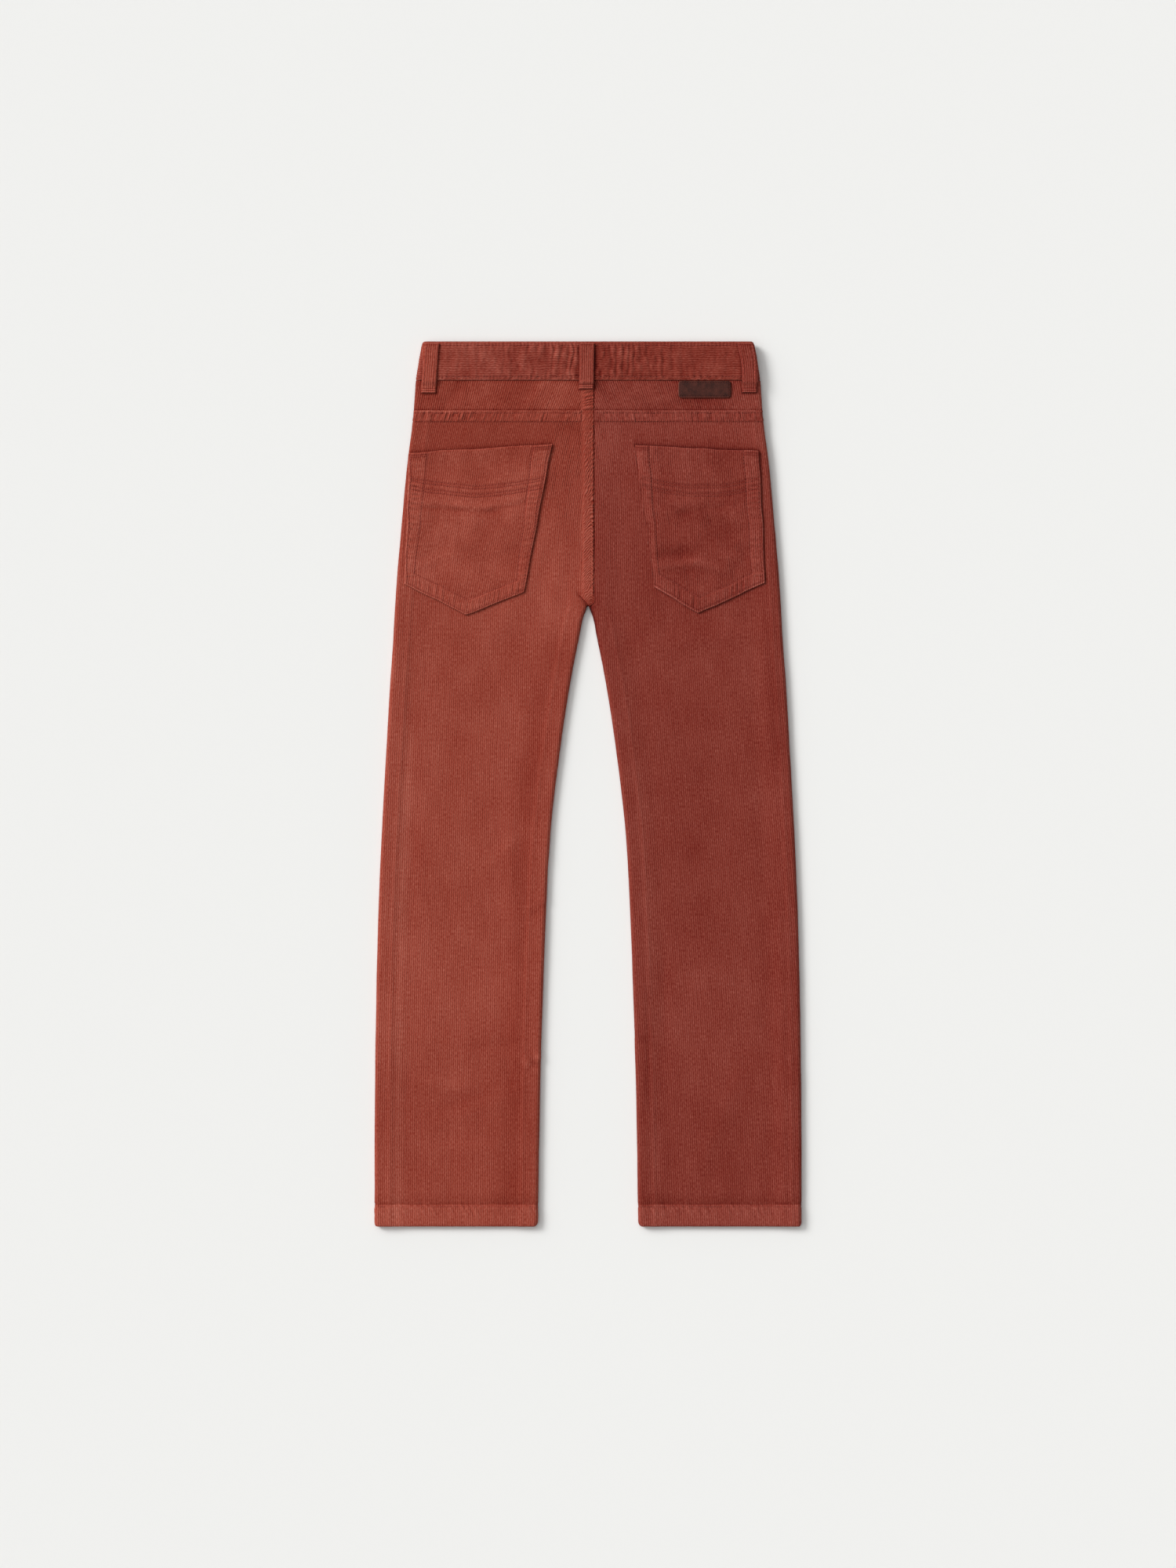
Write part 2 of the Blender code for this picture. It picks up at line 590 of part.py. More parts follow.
def pocket(side_name, corners, material, collection):
    """A five-cornered patch pocket, thicker along its turned-under edges and open at the top."""
    outer_low, tip, inner_low, outer_top, inner_top = np.stack((corners["along"], corners["up"]), 1)
    width_low = abs(inner_low[0] - outer_low[0])
    width_top = abs(inner_top[0] - outer_top[0])
    tip_share = abs(tip[0] - outer_low[0]) / width_low
    soft, ramp = SOFT_EDGE, POCKET_BORDER_RAMP

    def shares(width, borders):
        """Shares of the width at which the columns stand, from the outer to the inner side."""
        outer, inner = borders
        inward = np.array((0.0, soft, outer / 2, outer - ramp, outer)) / width
        outward = 1 - np.array((inner, inner - ramp, inner / 2, soft, 0.0)) / width
        between = np.array(((inward[-1] + tip_share) / 2, tip_share, (tip_share + outward[0]) / 2))
        return np.concatenate((inward, between, outward))

    across_low = shares(width_low, POCKET_BORDER["bottom"])
    across_top = shares(width_top, POCKET_BORDER["top"])
    deep = outer_top[1] - outer_low[1]
    below, mouth = POCKET_BORDER_BELOW, POCKET_MOUTH_DEEP
    lower, upper = deep * 0.4, deep * 0.7
    rise = np.array((
        0.0, soft, below - ramp, below, lower, upper, deep - mouth, deep - soft, deep,
    )) / deep
    across = across_low + (across_top - across_low) * rise[:, None]
    left = np.minimum(across / tip_share, 1.0)[..., None]
    right = np.clip((across - tip_share) / (1 - tip_share), 0.0, 1.0)[..., None]
    low = outer_low + (tip - outer_low) * left + (inner_low - tip) * right
    top = outer_top + (inner_top - outer_top) * across[..., None]
    place_at = low + (top - low) * rise[:, None, None]

    border = np.ones(across.shape)
    border[3:-1, 4:-4] = 0.0
    rounded = np.zeros(across.shape)
    rounded[[0, -1], :] = soft
    rounded[:, [0, -1]] = soft
    stand_off = POCKET_MOUTH_RISE * ease(rise * deep, deep - mouth, deep)[:, None]
    lift = SEAM_GAP + POCKET_SLACK
    return wall(
        f"back_pocket_{side_name}",
        place("back", place_at[..., 0], place_at[..., 1],
              lift + POCKET_CLOTH + POCKET_BORDER_RISE * border + stand_off - rounded),
        place("back", place_at[..., 0], place_at[..., 1], lift + stand_off),
        material,
        collection,
    )


def sewn_rectangle(name, face, left, right, low, high, radius, corners, cloth, material, collection):
    """A flat rectangle of cloth or leather on a face, with some of its corners rounded."""
    wide, deep = right - left, high - low
    arc = radius * np.array((0.0, 0.3, 1.0))
    across = np.concatenate((arc, (wide / 2,), wide - arc[::-1]))
    upward = np.concatenate((arc, (deep / 2,), deep - arc[::-1]))
    across, upward = np.meshgrid(across, upward)
    across, upward = round_corners(across, upward, wide, deep, radius, corners)
    along, up = left + across, low + upward
    return wall(
        name,
        place(face, along, up, SEAM_GAP + cloth),
        place(face, along, up, SEAM_GAP),
        material,
        collection,
    )


def button(material, collection):
    """A plain domed button, turned about its own axis, face down under the lapped waistband."""
    top, radius = BUTTON_THICK, BUTTON_RADIUS
    profile = (
        (0.0, top), (radius - 0.4, top), (radius, top - 0.3), (radius, 0.9),
        (radius - 0.7, 0.3), (radius * 0.5, 0.0), (0.0, 0.0),
    )
    mesh = bpy.data.meshes.new("waist_button")
    points = [(r * MM, 0.0, z * MM) for r, z in profile]
    mesh.from_pydata(points, [(k, k + 1) for k in range(len(profile) - 1)], [])
    piece = add_object("waist_button", mesh, material, collection)
    turned = piece.modifiers.new("Turned", "SCREW")
    turned.steps = turned.render_steps = 32
    turned.use_merge_vertices = True
    turned.merge_threshold = 0.00001
    middle_up = (BAND_BOTTOM_UP + LENGTH) / 2 - FRONT_DIP
    piece.location = (0.0, (middle_up - LENGTH / 2) * MM, 0.0)
    return piece


# ---------------------------------------------------------------- materials and assembly


def linear(red, green, blue):
    """A display colour of 0 to 255 as Blender's linear colour."""
    values = [c / 255 for c in (red, green, blue)]
    return [((c + 0.055) / 1.055) ** 2.4 if c > 0.04 else c / 12.92 for c in values] + [1.0]


def plain_material(name, colour, roughness, metallic=0.0):
    """A Principled material with one colour, roughness and metallic value."""
    material = bpy.data.materials.new(name)
    material.use_nodes = True
    shader = material.node_tree.nodes["Principled BSDF"]
    shader.inputs["Base Color"].default_value = colour
    shader.inputs["Roughness"].default_value = roughness
    shader.inputs["Metallic"].default_value = metallic
    return material


def main():
    for old in list(bpy.data.objects):
        bpy.data.objects.remove(old, do_unlink=True)
    trousers = bpy.data.collections.new("corduroy_trousers")
    bpy.context.scene.collection.children.link(trousers)
    # The nap lies towards the light on the left half and away from it on the right.
    cord = {
        "left": plain_material("corduroy_left", linear(148, 68, 56), 0.9),
        "right": plain_material("corduroy_right", linear(130, 57, 47), 0.9),
    }
    leather = plain_material("patch_leather", linear(72, 43, 37), 0.55)
    metal = plain_material("button_metal", linear(150, 140, 125), 0.35, 1.0)

    for side_name, side in (("left", -1.0), ("right", 1.0)):
        leg_panel("back", side_name, side, cord[side_name], trousers)
        leg_panel("front", side_name, side, cord[side_name], trousers)
        yoke(side_name, side, cord[side_name], trousers)
        waistband_front(side_name, side, cord[side_name], trousers)
    waistband_back(cord["left"], trousers)
    pocket("left", POCKET_LEFT, cord["left"], trousers)
    pocket("right", POCKET_RIGHT, cord["right"], trousers)

    for where, row in BACK_LOOPS.items():
        low, high, up_low = (float(row[key][0]) for key in ("along_low", "along_high", "up_low"))
        cloth = cord["right" if where == "right" else "left"]
        belt_loop(f"belt_loop_back_{where}", "back", low, high, up_low, LOOP_TOP_UP, cloth, trousers)
    for side_name, side in (("left", -1.0), ("right", 1.0)):
        along = side * FRONT_LOOP_ALONG
        dip = float(front_dip(along, BAND_BOTTOM_UP))
        belt_loop(f"belt_loop_front_{side_name}", "front", along, along,
                  BAND_BOTTOM_UP - dip - FRONT_LOOP_LOW, LOOP_TOP_UP - dip,
                  cord[side_name], trousers)

    every_corner = ((False, False), (True, False), (True, True), (False, True))
    sewn_rectangle("leather_patch", "back", PATCH_LEFT, PATCH_RIGHT,
                   BAND_BOTTOM_UP - SEAM_GAP - PATCH_DEEP, BAND_BOTTOM_UP - SEAM_GAP,
                   PATCH_CORNER, every_corner, PATCH_CLOTH, leather, trousers)
    sewn_rectangle("fly_flap", "front", FLY_LEFT, FLY_RIGHT,
                   FLY_LOW_UP, BAND_BOTTOM_UP - FRONT_DIP - SEAM_GAP,
                   FLY_CORNER, ((False, False),), FLY_CLOTH, cord["left"], trousers)
    button(metal, trousers)


main()
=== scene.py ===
"""Child's corduroy trousers, laid flat with the back upwards: the cloth, sewing and finishes.

The front lies on the plane z = 0. +Y runs from the hems to the waist and +X is the wearer's right.
Sizes are in millimetres and become metres when a mesh is made. A place on the garment is given by
its distance from the centre line, measured along the cloth, and by `up`, its height above the hems.

Each piece of cloth is a closed shell. Its outer sheet is a grid whose lines run along the ribs of
the corduroy, four to a rib, so that every rib is raised, and its inner sheet is plain.
"""

import math

import bmesh
import bpy
import numpy as np
from bpy.props import FloatProperty, FloatVectorProperty, PointerProperty
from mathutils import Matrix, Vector


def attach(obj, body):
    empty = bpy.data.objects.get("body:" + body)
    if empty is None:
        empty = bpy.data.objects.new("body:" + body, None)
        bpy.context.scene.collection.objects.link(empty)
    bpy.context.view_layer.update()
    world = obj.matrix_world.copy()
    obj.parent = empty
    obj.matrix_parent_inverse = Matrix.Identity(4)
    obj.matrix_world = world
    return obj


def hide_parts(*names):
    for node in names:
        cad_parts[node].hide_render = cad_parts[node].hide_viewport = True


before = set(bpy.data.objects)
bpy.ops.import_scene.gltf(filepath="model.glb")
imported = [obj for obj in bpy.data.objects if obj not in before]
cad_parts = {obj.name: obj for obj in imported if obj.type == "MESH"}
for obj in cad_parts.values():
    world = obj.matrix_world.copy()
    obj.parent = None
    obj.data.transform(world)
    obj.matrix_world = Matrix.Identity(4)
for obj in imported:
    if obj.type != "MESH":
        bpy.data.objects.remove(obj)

bl_info = {
    "name": "Corduroy Trousers",
    "version": (1, 0, 0),
    "blender": (4, 5, 0),
    "location": "View3D > Sidebar > Trousers",
    "description": "Builds a child's corduroy trousers, laid flat with the back upwards",
    "category": "Add Mesh",
}

MM = 0.001
SIDES = {"left": -1.0, "right": 1.0}


def table(names, rows):
    """A short table as one array for each named column."""
    return dict(zip(names.split(), np.array(rows, dtype=float).T))


# ---------------------------------------------------------------- sizes shared with the solids

LENGTH = 760
CROTCH_UP = 534
YOKE_SEAM_UP = 700.8
BAND_BOTTOM_UP = 726.4
HEM_DEEP = 18.8
FRONT_DIP = 8  # how much lower the waist is at the centre front
FRONT_DIP_FROM_UP = 554

CLOTH = 1.4
HEM_CLOTH = 2.6
BAND_CLOTH = 2.8
BAND_PROUD = 1.4
SEAM_GAP = 0.3

EDGE_ROLL = 3.4
ROLL_SPARE = (math.pi / 2 - 1) * EDGE_ROLL  # how much longer its arc is than it is wide
EDGE_FULL = 6
EDGE_FADE = 30
INSEAM_FADE_UP = (504, 579)
HEM_STEP = 0.7
HEM_RAMP = 1.6
HEM_FOLD = 0.9
HEM_FOLD_UPS = (0, 0.8, 2.4)
HEM_CORNER = 5
HEM_CORNER_INSEAM = 1.6
HEM_CORNER_SIDE = 0.7
WAIST_CORNER = 3
WAIST_CORNER_INSET = 0.3

REST_TO_UP = 540
RAISED_FROM_UP = 690
LOOP_CLOTH = 2
FRONT_RAISED = LOOP_CLOTH + SEAM_GAP + BAND_PROUD

SEAM_X = 4.9
SEAM_BEND_UPS = (531, 537)
BUTTED = 0.02  # between cloths that meet at a seam
FELL_WIDE = 10
FELL_RAMP = 1.2
FELL_RISE = 0.8
FELL_FADE_UP = (540, 560)
YOKE_LAP_DEEP = 9.4
YOKE_LAP_RISE = 0.5
CROTCH_FOLD = 6

# up: height above the hems. outer: half the garment's width. inner: from the centre line to the leg.
# middle and edge: height of the back's face above the floor, in the panel's middle and at its edges.
OUTLINE = table("up outer inner", (
    (0, 183.5, 43), (110, 183, 41.2), (186, 182.1, 39.2), (261, 180.4, 36.4), (337, 177.2, 32.3),
    (412, 173.1, 23.6), (469, 169.8, 14.8), (506, 167.1, 7.6), (525, 166.1, 3.6), (534, 165.6, 0),
    (615, 159, 0), (656, 155, 0), (688, 150.9, 0), (701, 149.6, 0), (727, 147.8, 0), (760, 142.2, 0),
))
THICKNESS = table("up middle edge", (
    (0, 5, 6.2), (60, 4.6, 6.2), (300, 4.5, 6.3), (480, 4.8, 6.5), (560, 5.3, 6.7), (620, 6.1, 7),
    (670, 7, 7.3), (701, 7.4, 7.5), (760, 7.5, 7.5),
))

# Soft creases in the back, each from one point to another: the broad ones first, as in the solids,
# then the fine ones.
CREASES = table("x_low up_low x_high up_high rise spread", (
    (-169, 20, -168, 170, 0.5, 6), (-155, 250, -152, 530, -0.5, 7), (-60, 130, -66, 330, 0.5, 7),
    (-134, 160, -86, 146, 0.4, 7), (-110, 96, -68, 112, 0.4, 7), (-40, 470, -26, 560, 0.4, 8),
    (-72, 522, -30, 600, 0.4, 9), (168, 20, 165, 260, 0.5, 6), (58, 60, 64, 210, -0.4, 7),
    (100, 60, 122, 110, 0.4, 8), (24, 540, 28, 650, -0.4, 9), (70, 500, 150, 512, 0.4, 8),
))
FINE_CREASES = table("x_low up_low x_high up_high rise spread", (
    (-41, 147, -52, 141, 0.9, 1.6), (-40, 143, -54, 138, -1, 1.4), (-38, 281, -47, 276, 0.4, 2.4),
    (-38, 276, -46, 271, -0.4, 2.4), (-97, 156, -67, 159, -0.3, 3.5), (-144, 127, -111, 121, 0.3, 4),
    (-106, 110, -100, 112, -0.4, 6), (-77, 319, -67, 330, 0.3, 4), (-118, 69, -94, 69, 0.3, 4.5),
    (42, 164, 51, 159, -0.5, 2.4), (52, 112, 53, 196, -0.4, 4), (-8.4, 542.8, -0.6, 533.4, -0.9, 1),
    (-53, 702, -42, 718, 0.35, 5), (-122, 708, -110, 722, -0.35, 5), (60, 704, 96, 709, -0.3, 5),
))

POCKET_CLOTH = 1.3
POCKET_SLACK = 0.1
POCKET_BORDER_RISE = 0.4
POCKET_BORDER_RAMP = 1.4
POCKET_MOUTH_RISE = 0.5
POCKET_MOUTH_DEEP = 14
# Corners in order round the pocket.
OUTER_BOTTOM, TIP, INNER_BOTTOM, INNER_TOP, OUTER_TOP = range(5)
POCKET_CORNERS = {
    "left": table("along up", (
        (-158, 552.1), (-104.8, 525.2), (-55, 544.4), (-30.8, 671.9), (-153.2, 664.5),
    )),
    "right": table("along up", (
        (151.6, 552.8), (95, 526.5), (56.7, 548.8), (39.9, 670.6), (147.5, 665.8),
    )),
}
# Widths of the border turned under at the inner and outer side: at the mouth and at the bottom.
POCKET_BORDERS = {"left": ((16, 8), (16, 8)), "right": ((12, 5.5), (14, 10.5))}
POCKET_BORDER_BELOW = 12

LOOP_WIDE = 12.8
LOOP_TOP_UP = 758
LOOP_CLIMB = 5
LOOP_RIBS = 7
# Each loop's middle at its lower and upper end, the height of its lower end, and how far it bows.
BACK_LOOPS = {
    "left": (-137, -133.7, 715.6, -0.5),
    "centre": (-1.7, -0.6, 719, 0),
    "right": (138.2, 134.8, 715.9, 1.5),
}
FRONT_LOOP_ALONG = 78
FRONT_LOOP_LOW = 11

PATCH_LEFT, PATCH_RIGHT = 77.4, 122.7
PATCH_DEEP = 14.6
PATCH_CORNER = 2.8
PATCH_CLOTH = 1.4
PATCH_ROW_IN = 1.5

FLY_LEFT, FLY_RIGHT = -28, 3
FLY_LOW_UP = 616
FLY_CORNER = 14
FLY_CLOTH = 1.3
FLY_ROWS_IN = (2, 5)
BAND_LAP = 12

GATHERS = 17
GATHER_FROM = 8
GATHER_TO = 127
GATHER_PITCH_NEAR = 5
GATHER_PITCH_FAR = 9
GATHER_UNEVEN_PITCH = (0.72, 1.3)
GATHER_UNEVEN_HEIGHT = (0.3, 1)
GATHER_HEIGHT = 1.05
GATHER_SPREAD = 70
GATHER_LEAST = 0.3
GATHER_SEED = 14
SOFT_EDGE = 0.5

# ---------------------------------------------------------------- sizes of the finer forms

# Rows of a leg's grid: each stretch from one height to another, in steps of about this size.
LEG_ROWS = {
    "back": ((0, 2.4, 0.5), (2.4, 21, 0.9), (21, 520, 5), (520, 548, 1.6), (548, 662, 3.8),
             (662, 678, 0.9), (678, 690, 2), (690, YOKE_SEAM_UP - BUTTED, 0.7)),
    "front": ((0, 2.4, 0.6), (2.4, 21, 1.9), (21, 520, 20), (520, 562, 6),
              (562, BAND_BOTTOM_UP - SEAM_GAP, 18)),
}
# Rows of a pocket's grid, as shares of each rib's stretch inside it.
POCKET_ROWS = ((0, 0.024, 0.006), (0.024, 0.14, 0.0085), (0.14, 0.58, 0.013),
               (0.58, 0.84, 0.0068), (0.84, 0.976, 0.012), (0.976, 1, 0.006))

RIB_LINES = 4  # lines of the grid to each rib
RIB_FULLNESS = 0.6  # below 1 the ribs are broad and round with narrow grooves
RIB_SUNK = 0.6  # share of a rib's height that lies below the panel's own face
RIB_WANDER = 0.3  # how far a rib strays from its line
RIB_UNEVEN = 0.3  # how much the pile's height varies
WANDER_SEEDS = {"left": 21, "right": 22}
LATTICE = 97  # random numbers to each side of the lattice for uneven places
MERGED_WITHIN = 0.001
THINNEST = 0.3  # of a piece that is sewn on
MOST_PRESSED = 0.85  # share of the pile's height that stitches can press down
SHARP_ANGLE = math.radians(76)  # edges bent by more stay sharp

# The ribs of the legs: how far one has moved sideways since the hem, and how close they lie.
LEG_RIBS = {
    "left": table("up shift spread", (
        (0, 0, 1.02), (120, 0, 1.02), (200, 0.3, 1.01), (300, 0.9, 0.99), (400, 1.7, 0.97),
        (500, 2.9, 0.95), (560, 4.2, 0.94), (600, 6, 0.935), (640, 10.5, 0.93), (680, 18.5, 0.93),
        (760, 36, 0.93),
    )),
    "right": table("up shift spread", (
        (0, 0, 1), (150, -7.5, 1), (300, -16.5, 0.985), (480, -27, 0.955), (560, -29.5, 0.945),
        (620, -30.4, 0.94), (640, -31, 0.935), (680, -34.4, 0.93), (760, -45, 0.93),
    )),
}
# Sideways slope of the ribs at the centre, and how it changes outwards for each millimetre.
YOKE_RIBS = {"left": (0.40, 0.0016), "right": (-0.42, 0.0018)}
POCKET_RIBS = {"left": 0.15, "right": -0.06}
POCKET_BOLD = {"left": 1, "right": 1.35}  # how much bolder than elsewhere their ribs are
# The ribs of the felled centre seam: how far they climb, how far they bend into a V turned over, and the
# width of the cloth turned under.
FELL_RIBS = table("up shift bent wide", (
    (525, 0, 1, 11.2), (560, 26, 1, 11.2), (590, 48.5, 0.95, 10.8), (612, 64, 0.6, 10.4),
    (632, 75, 0.15, 10.2), (655, 84, 0, 10), (690, 97, 0, 10), (701, 101.5, 0.1, 10),
    (726, 118, 0.1, 10),
))
FELL_BEND = 2.2  # where the point of the V lies
CROTCH_FOLD_FROM = (-7, 541.2)
CROTCH_FOLD_SLOPE = -1.13

# How light each leg's cloth is from hem to waist.
LEG_TONES = {
    "left": ((0, 18, 20, 100, 220, 560, 600, 640, 700),
             (0.3, 0.3, -0.6, -0.55, -0.1, -0.15, -0.7, -1.2, -1.55)),
    "right": ((0, 18, 20, 100, 560, 640, 700),
              (1.15, 1.15, -0.25, -0.2, 0, 0.35, 0.75)),
}
# How light the waistband is along it: its right half darker with the same painted shade as the right cloth.
BAND_TONES = ((-160, -60, -6, 6, 160), (0.5, -0.1, -0.3, -1.2, -1.2))
BAND_RIBS = 17
BAND_COLUMNS = 461
# How light each back loop is, and its cloth.
LOOP_LOOKS = {
    "left": (0, "corduroy_left"),
    "centre": (-0.2, "corduroy_band"),
    "right": (0, "corduroy_right"),
}
# How dark the cloth is beside each: a line at its right, one at its left, and a hollow there.
LOOP_SHADES = {"left": (1.1, 2.6, 0), "centre": (1.4, 2.6, 3.2), "right": (1.1, 4.2, 0)}

ALLOWANCE_FROM_SIDE = {"left": 12.8, "right": 8.2}  # ridge over the side seam's turned-in cloth
ALLOWANCE_FROM_INSEAM = 14.5
ALLOWANCE_RISE = 0.28
ALLOWANCE_SPREAD = 2

PUCKER_PITCH = 5.2
PUCKER_RISE = 0.32
STITCH_GROOVE = 0.34
STITCH_GROOVE_WIDE = 0.75

FELL_TOP = 0.8
FELL_EDGE = 4.6
SCALLOP_PITCH = 3.95
SEAM_LOW_UP, SEAM_ROW_STEP = 526, 0.42
FELL_ROWS = (-5, 2.9)  # the two stitched rows, from the centre line
LAP_ROWS = (2.3, 9.5)  # below the yoke seam
HEM_ROW_UP = 17.2
BAND_ROW_IN = 3.2  # from either edge of the waistband
POCKET_ROW_IN = 1.9
LOOP_ROW_IN = 2


# ---------------------------------------------------------------- curves


def smooth_value(columns, name, at):
    """One column of a table at any height: a cubic through its rows with the rows' mean slopes."""
    knots, values = columns["up"], columns[name]
    slopes = np.gradient(values, knots)
    at = np.clip(at, knots[0], knots[-1])
    low = np.clip(np.searchsorted(knots, at) - 1, 0, len(knots) - 2)
    span = knots[low + 1] - knots[low]
    t = (at - knots[low]) / span
    return (
        values[low] * (1 + 2 * t) * (1 - t) ** 2
        + values[low + 1] * (3 - 2 * t) * t**2
        + slopes[low] * span * t * (1 - t) ** 2
        - slopes[low + 1] * span * (1 - t) * t**2
    )


def ease(value, start, end):
    """0 before start, 1 after end, with a smooth change between them."""
    t = np.clip((value - start) / (end - start), 0, 1)
    return t * t * (3 - 2 * t)


def fall(value, start, end):
    """1 before start, 0 after end, with a smooth change between them."""
    return 1 - ease(value, start, end)


def rounding(to_edge, reach, drop):
    """How far a face falls away towards its edge: a parabola over the last of its width."""
    return drop * np.clip(1 - to_edge / reach, 0, 1) ** 2


def hill(distance, spread):
    """1 at no distance, falling smoothly to nothing: a bell of the given half width."""
    return np.exp(-((distance / spread) ** 2))


def unevenness(x, y, cell_x, cell_y, seed):
    """Values from -1 to 1 that change smoothly: random numbers at the corners of a lattice of
    cells, eased from one corner to the next."""
    lattice = np.random.default_rng(seed).uniform(-1, 1, (LATTICE, LATTICE))
    u, v = np.broadcast_arrays(x / cell_x, y / cell_y)
    i, j = np.floor(u).astype(int), np.floor(v).astype(int)
    s, t = ease(u - i, 0, 1), ease(v - j, 0, 1)
    i0, i1, j0, j1 = i % LATTICE, (i + 1) % LATTICE, j % LATTICE, (j + 1) % LATTICE
    low = lattice[i0, j0] * (1 - s) + lattice[i1, j0] * s
    high = lattice[i0, j1] * (1 - s) + lattice[i1, j1] * s
    return low * (1 - t) + high * t


def waver(at, cell, seed):
    """Unevenness along one direction alone."""
    return unevenness(at, 0, cell, 1, seed)


def leg_gap(up):
    """From the centre line to a leg's inner edge: nothing above the crotch."""
    return np.maximum(smooth_value(OUTLINE, "inner", up), 0)


def outer_edge(up):
    """Half the garment's width, with the corners of hem and waist rounded."""
    hem = rounding(up, HEM_CORNER, HEM_CORNER_SIDE)
    return smooth_value(OUTLINE, "outer", up) - hem - rounding(LENGTH - up, WAIST_CORNER, WAIST_CORNER_INSET)


def edge_distances(x, up):
    """How far a place is from its leg's outer edge, and from its inner one."""
    return outer_edge(up) - np.abs(x), np.abs(x) - leg_gap(up)


def seam_x(up):
    """Where the two halves of the back meet, right of the centre line above the crotch."""
    return SEAM_X * ease(up, *SEAM_BEND_UPS)


def inner_edge(face, side, up):
    """A leg's inner edge, or above the crotch the centre seam, as a distance on the leg's side."""
    leg = leg_gap(up) + rounding(up, HEM_CORNER, HEM_CORNER_INSEAM) + SEAM_GAP / 2
    seam = side * seam_x(up) if face == "back" else 0
    return np.where(up < CROTCH_UP, leg, seam + BUTTED)


# ---------------------------------------------------------------- the two faces

OUTWARD = {"back": 1, "front": -1}


def front_height(up):
    """Height of the front's face: on the floor along the legs, raised over the loops above."""
    return FRONT_RAISED * ease(up, REST_TO_UP, RAISED_FROM_UP)


def crease_height(creases, x, up):
    """All the creases of a table: each a ridge or trough, fading out sideways and past its ends."""
    total = np.zeros(np.broadcast(x, up).shape)
    for x0, up0, x1, up1, rise, spread in zip(*creases.values()):
        length = math.hypot(x1 - x0, up1 - up0)
        ahead = ((x - x0) * (x1 - x0) + (up - up0) * (up1 - up0)) / length
        aside = ((x - x0) * (up1 - up0) - (up - up0) * (x1 - x0)) / length
        past = np.maximum(np.maximum(-ahead, ahead - length), 0)
        total += rise * np.exp(-(aside**2) / spread**2 - past**2 / (3 * spread) ** 2)
    return total


def fell_height(x, up):
    """Height of the felled centre seam above the panels beside it."""
    fell = ease(x, SEAM_X - FELL_WIDE - FELL_RAMP, SEAM_X - FELL_WIDE) * (x < seam_x(up))
    return FELL_RISE * fell * ease(up, *FELL_FADE_UP) * (up < BAND_BOTTOM_UP)


def back_height(x, up):
    """Height of the back's face: thicker at its edges, with the hem, seams and creases raised."""
    middle = smooth_value(THICKNESS, "middle", up)
    edge = smooth_value(THICKNESS, "edge", up)
    to_side, to_inseam = edge_distances(x, up)
    near = np.maximum(
        fall(to_side, EDGE_FULL, EDGE_FADE),
        fall(to_inseam, EDGE_FULL, EDGE_FADE) * fall(up, *INSEAM_FADE_UP),
    )
    lap = ease(up, YOKE_SEAM_UP - YOKE_LAP_DEEP - FELL_RAMP, YOKE_SEAM_UP - YOKE_LAP_DEEP)
    return (
        middle
        + (edge - middle) * near
        + np.maximum(fell_height(x, up), YOKE_LAP_RISE * lap * (up < YOKE_SEAM_UP))
        + HEM_STEP * fall(up, HEM_DEEP - HEM_RAMP, HEM_DEEP)
        + crease_height(CREASES, x, up)
    )


def height(face, x, up):
    """Height above the floor of either face."""
    return back_height(x, up) if face == "back" else front_height(up)


def meeting_height(up):
    """Height of the line along which front and back are joined, halfway through the edge."""
    under = front_height(up)
    return under + (smooth_value(THICKNESS, "edge", up) - under) / 2


def place(face, along, up, lift, inset=0):
    """Points of one face, moved outwards by lift. Past its flat part the cloth rolls over the edge
    as a quarter of an ellipse, down or up to the line where front and back meet."""
    along, up, lift, inset = np.broadcast_arrays(along, up, lift, inset)
    out = OUTWARD[face]
    side = np.where(along < 0, -1, 1)
    flat_end = outer_edge(up) - EDGE_ROLL - inset
    on_flat = np.minimum(np.abs(along), flat_end)
    turn = np.clip((np.abs(along) - flat_end) / EDGE_ROLL, 0, math.pi / 2)
    seam = meeting_height(up) + out * SEAM_GAP / 2
    rise = np.abs(height(face, side * on_flat, up) - seam) + lift
    x = side * (on_flat + (EDGE_ROLL + lift) * np.sin(turn))
    return np.stack((x, up, seam + out * rise * np.cos(turn)), axis=-1)


def panel_limits(face, side, up):
    """Where a panel's cloth starts and ends, measured along it from the centre line: round the
    inner edge's quarter turn, or above the crotch at the centre seam, and round the side's."""
    rolled = fall(up, CROTCH_UP, CROTCH_UP + CROTCH_FOLD)
    return inner_edge(face, side, up) - ROLL_SPARE * rolled, outer_edge(up) + ROLL_SPARE


def panel_place(face, side, distance, up, lift):
    """Points of a leg or yoke. Distance is measured on the panel's own side. Below the crotch the
    inner edge rolls to the meeting line, and above it the roll eases away into the centre seam."""
    distance, up, lift = np.broadcast_arrays(distance, up, lift)
    out = OUTWARD[face]
    points = place(face, side * np.maximum(distance, 0), up, lift)
    points[..., 0] = np.where(distance < 0, side * distance, points[..., 0])
    rolled = fall(up, CROTCH_UP, CROTCH_UP + CROTCH_FOLD)
    centre = inner_edge(face, side, up) + EDGE_ROLL
    turn = np.clip((centre - distance) / EDGE_ROLL, 0, math.pi / 2)
    seam = meeting_height(up) + out * SEAM_GAP / 2
    rise = np.abs(height(face, side * centre, up) - seam) + lift
    share = rolled * (distance < centre)
    points[..., 0] += (side * (centre - (EDGE_ROLL + lift) * np.sin(turn)) - points[..., 0]) * share
    points[..., 2] += (seam + out * rise * np.cos(turn) - points[..., 2]) * share
    if face == "front":
        points[..., 1] -= front_dip(points[..., 0], points[..., 1])
    return points


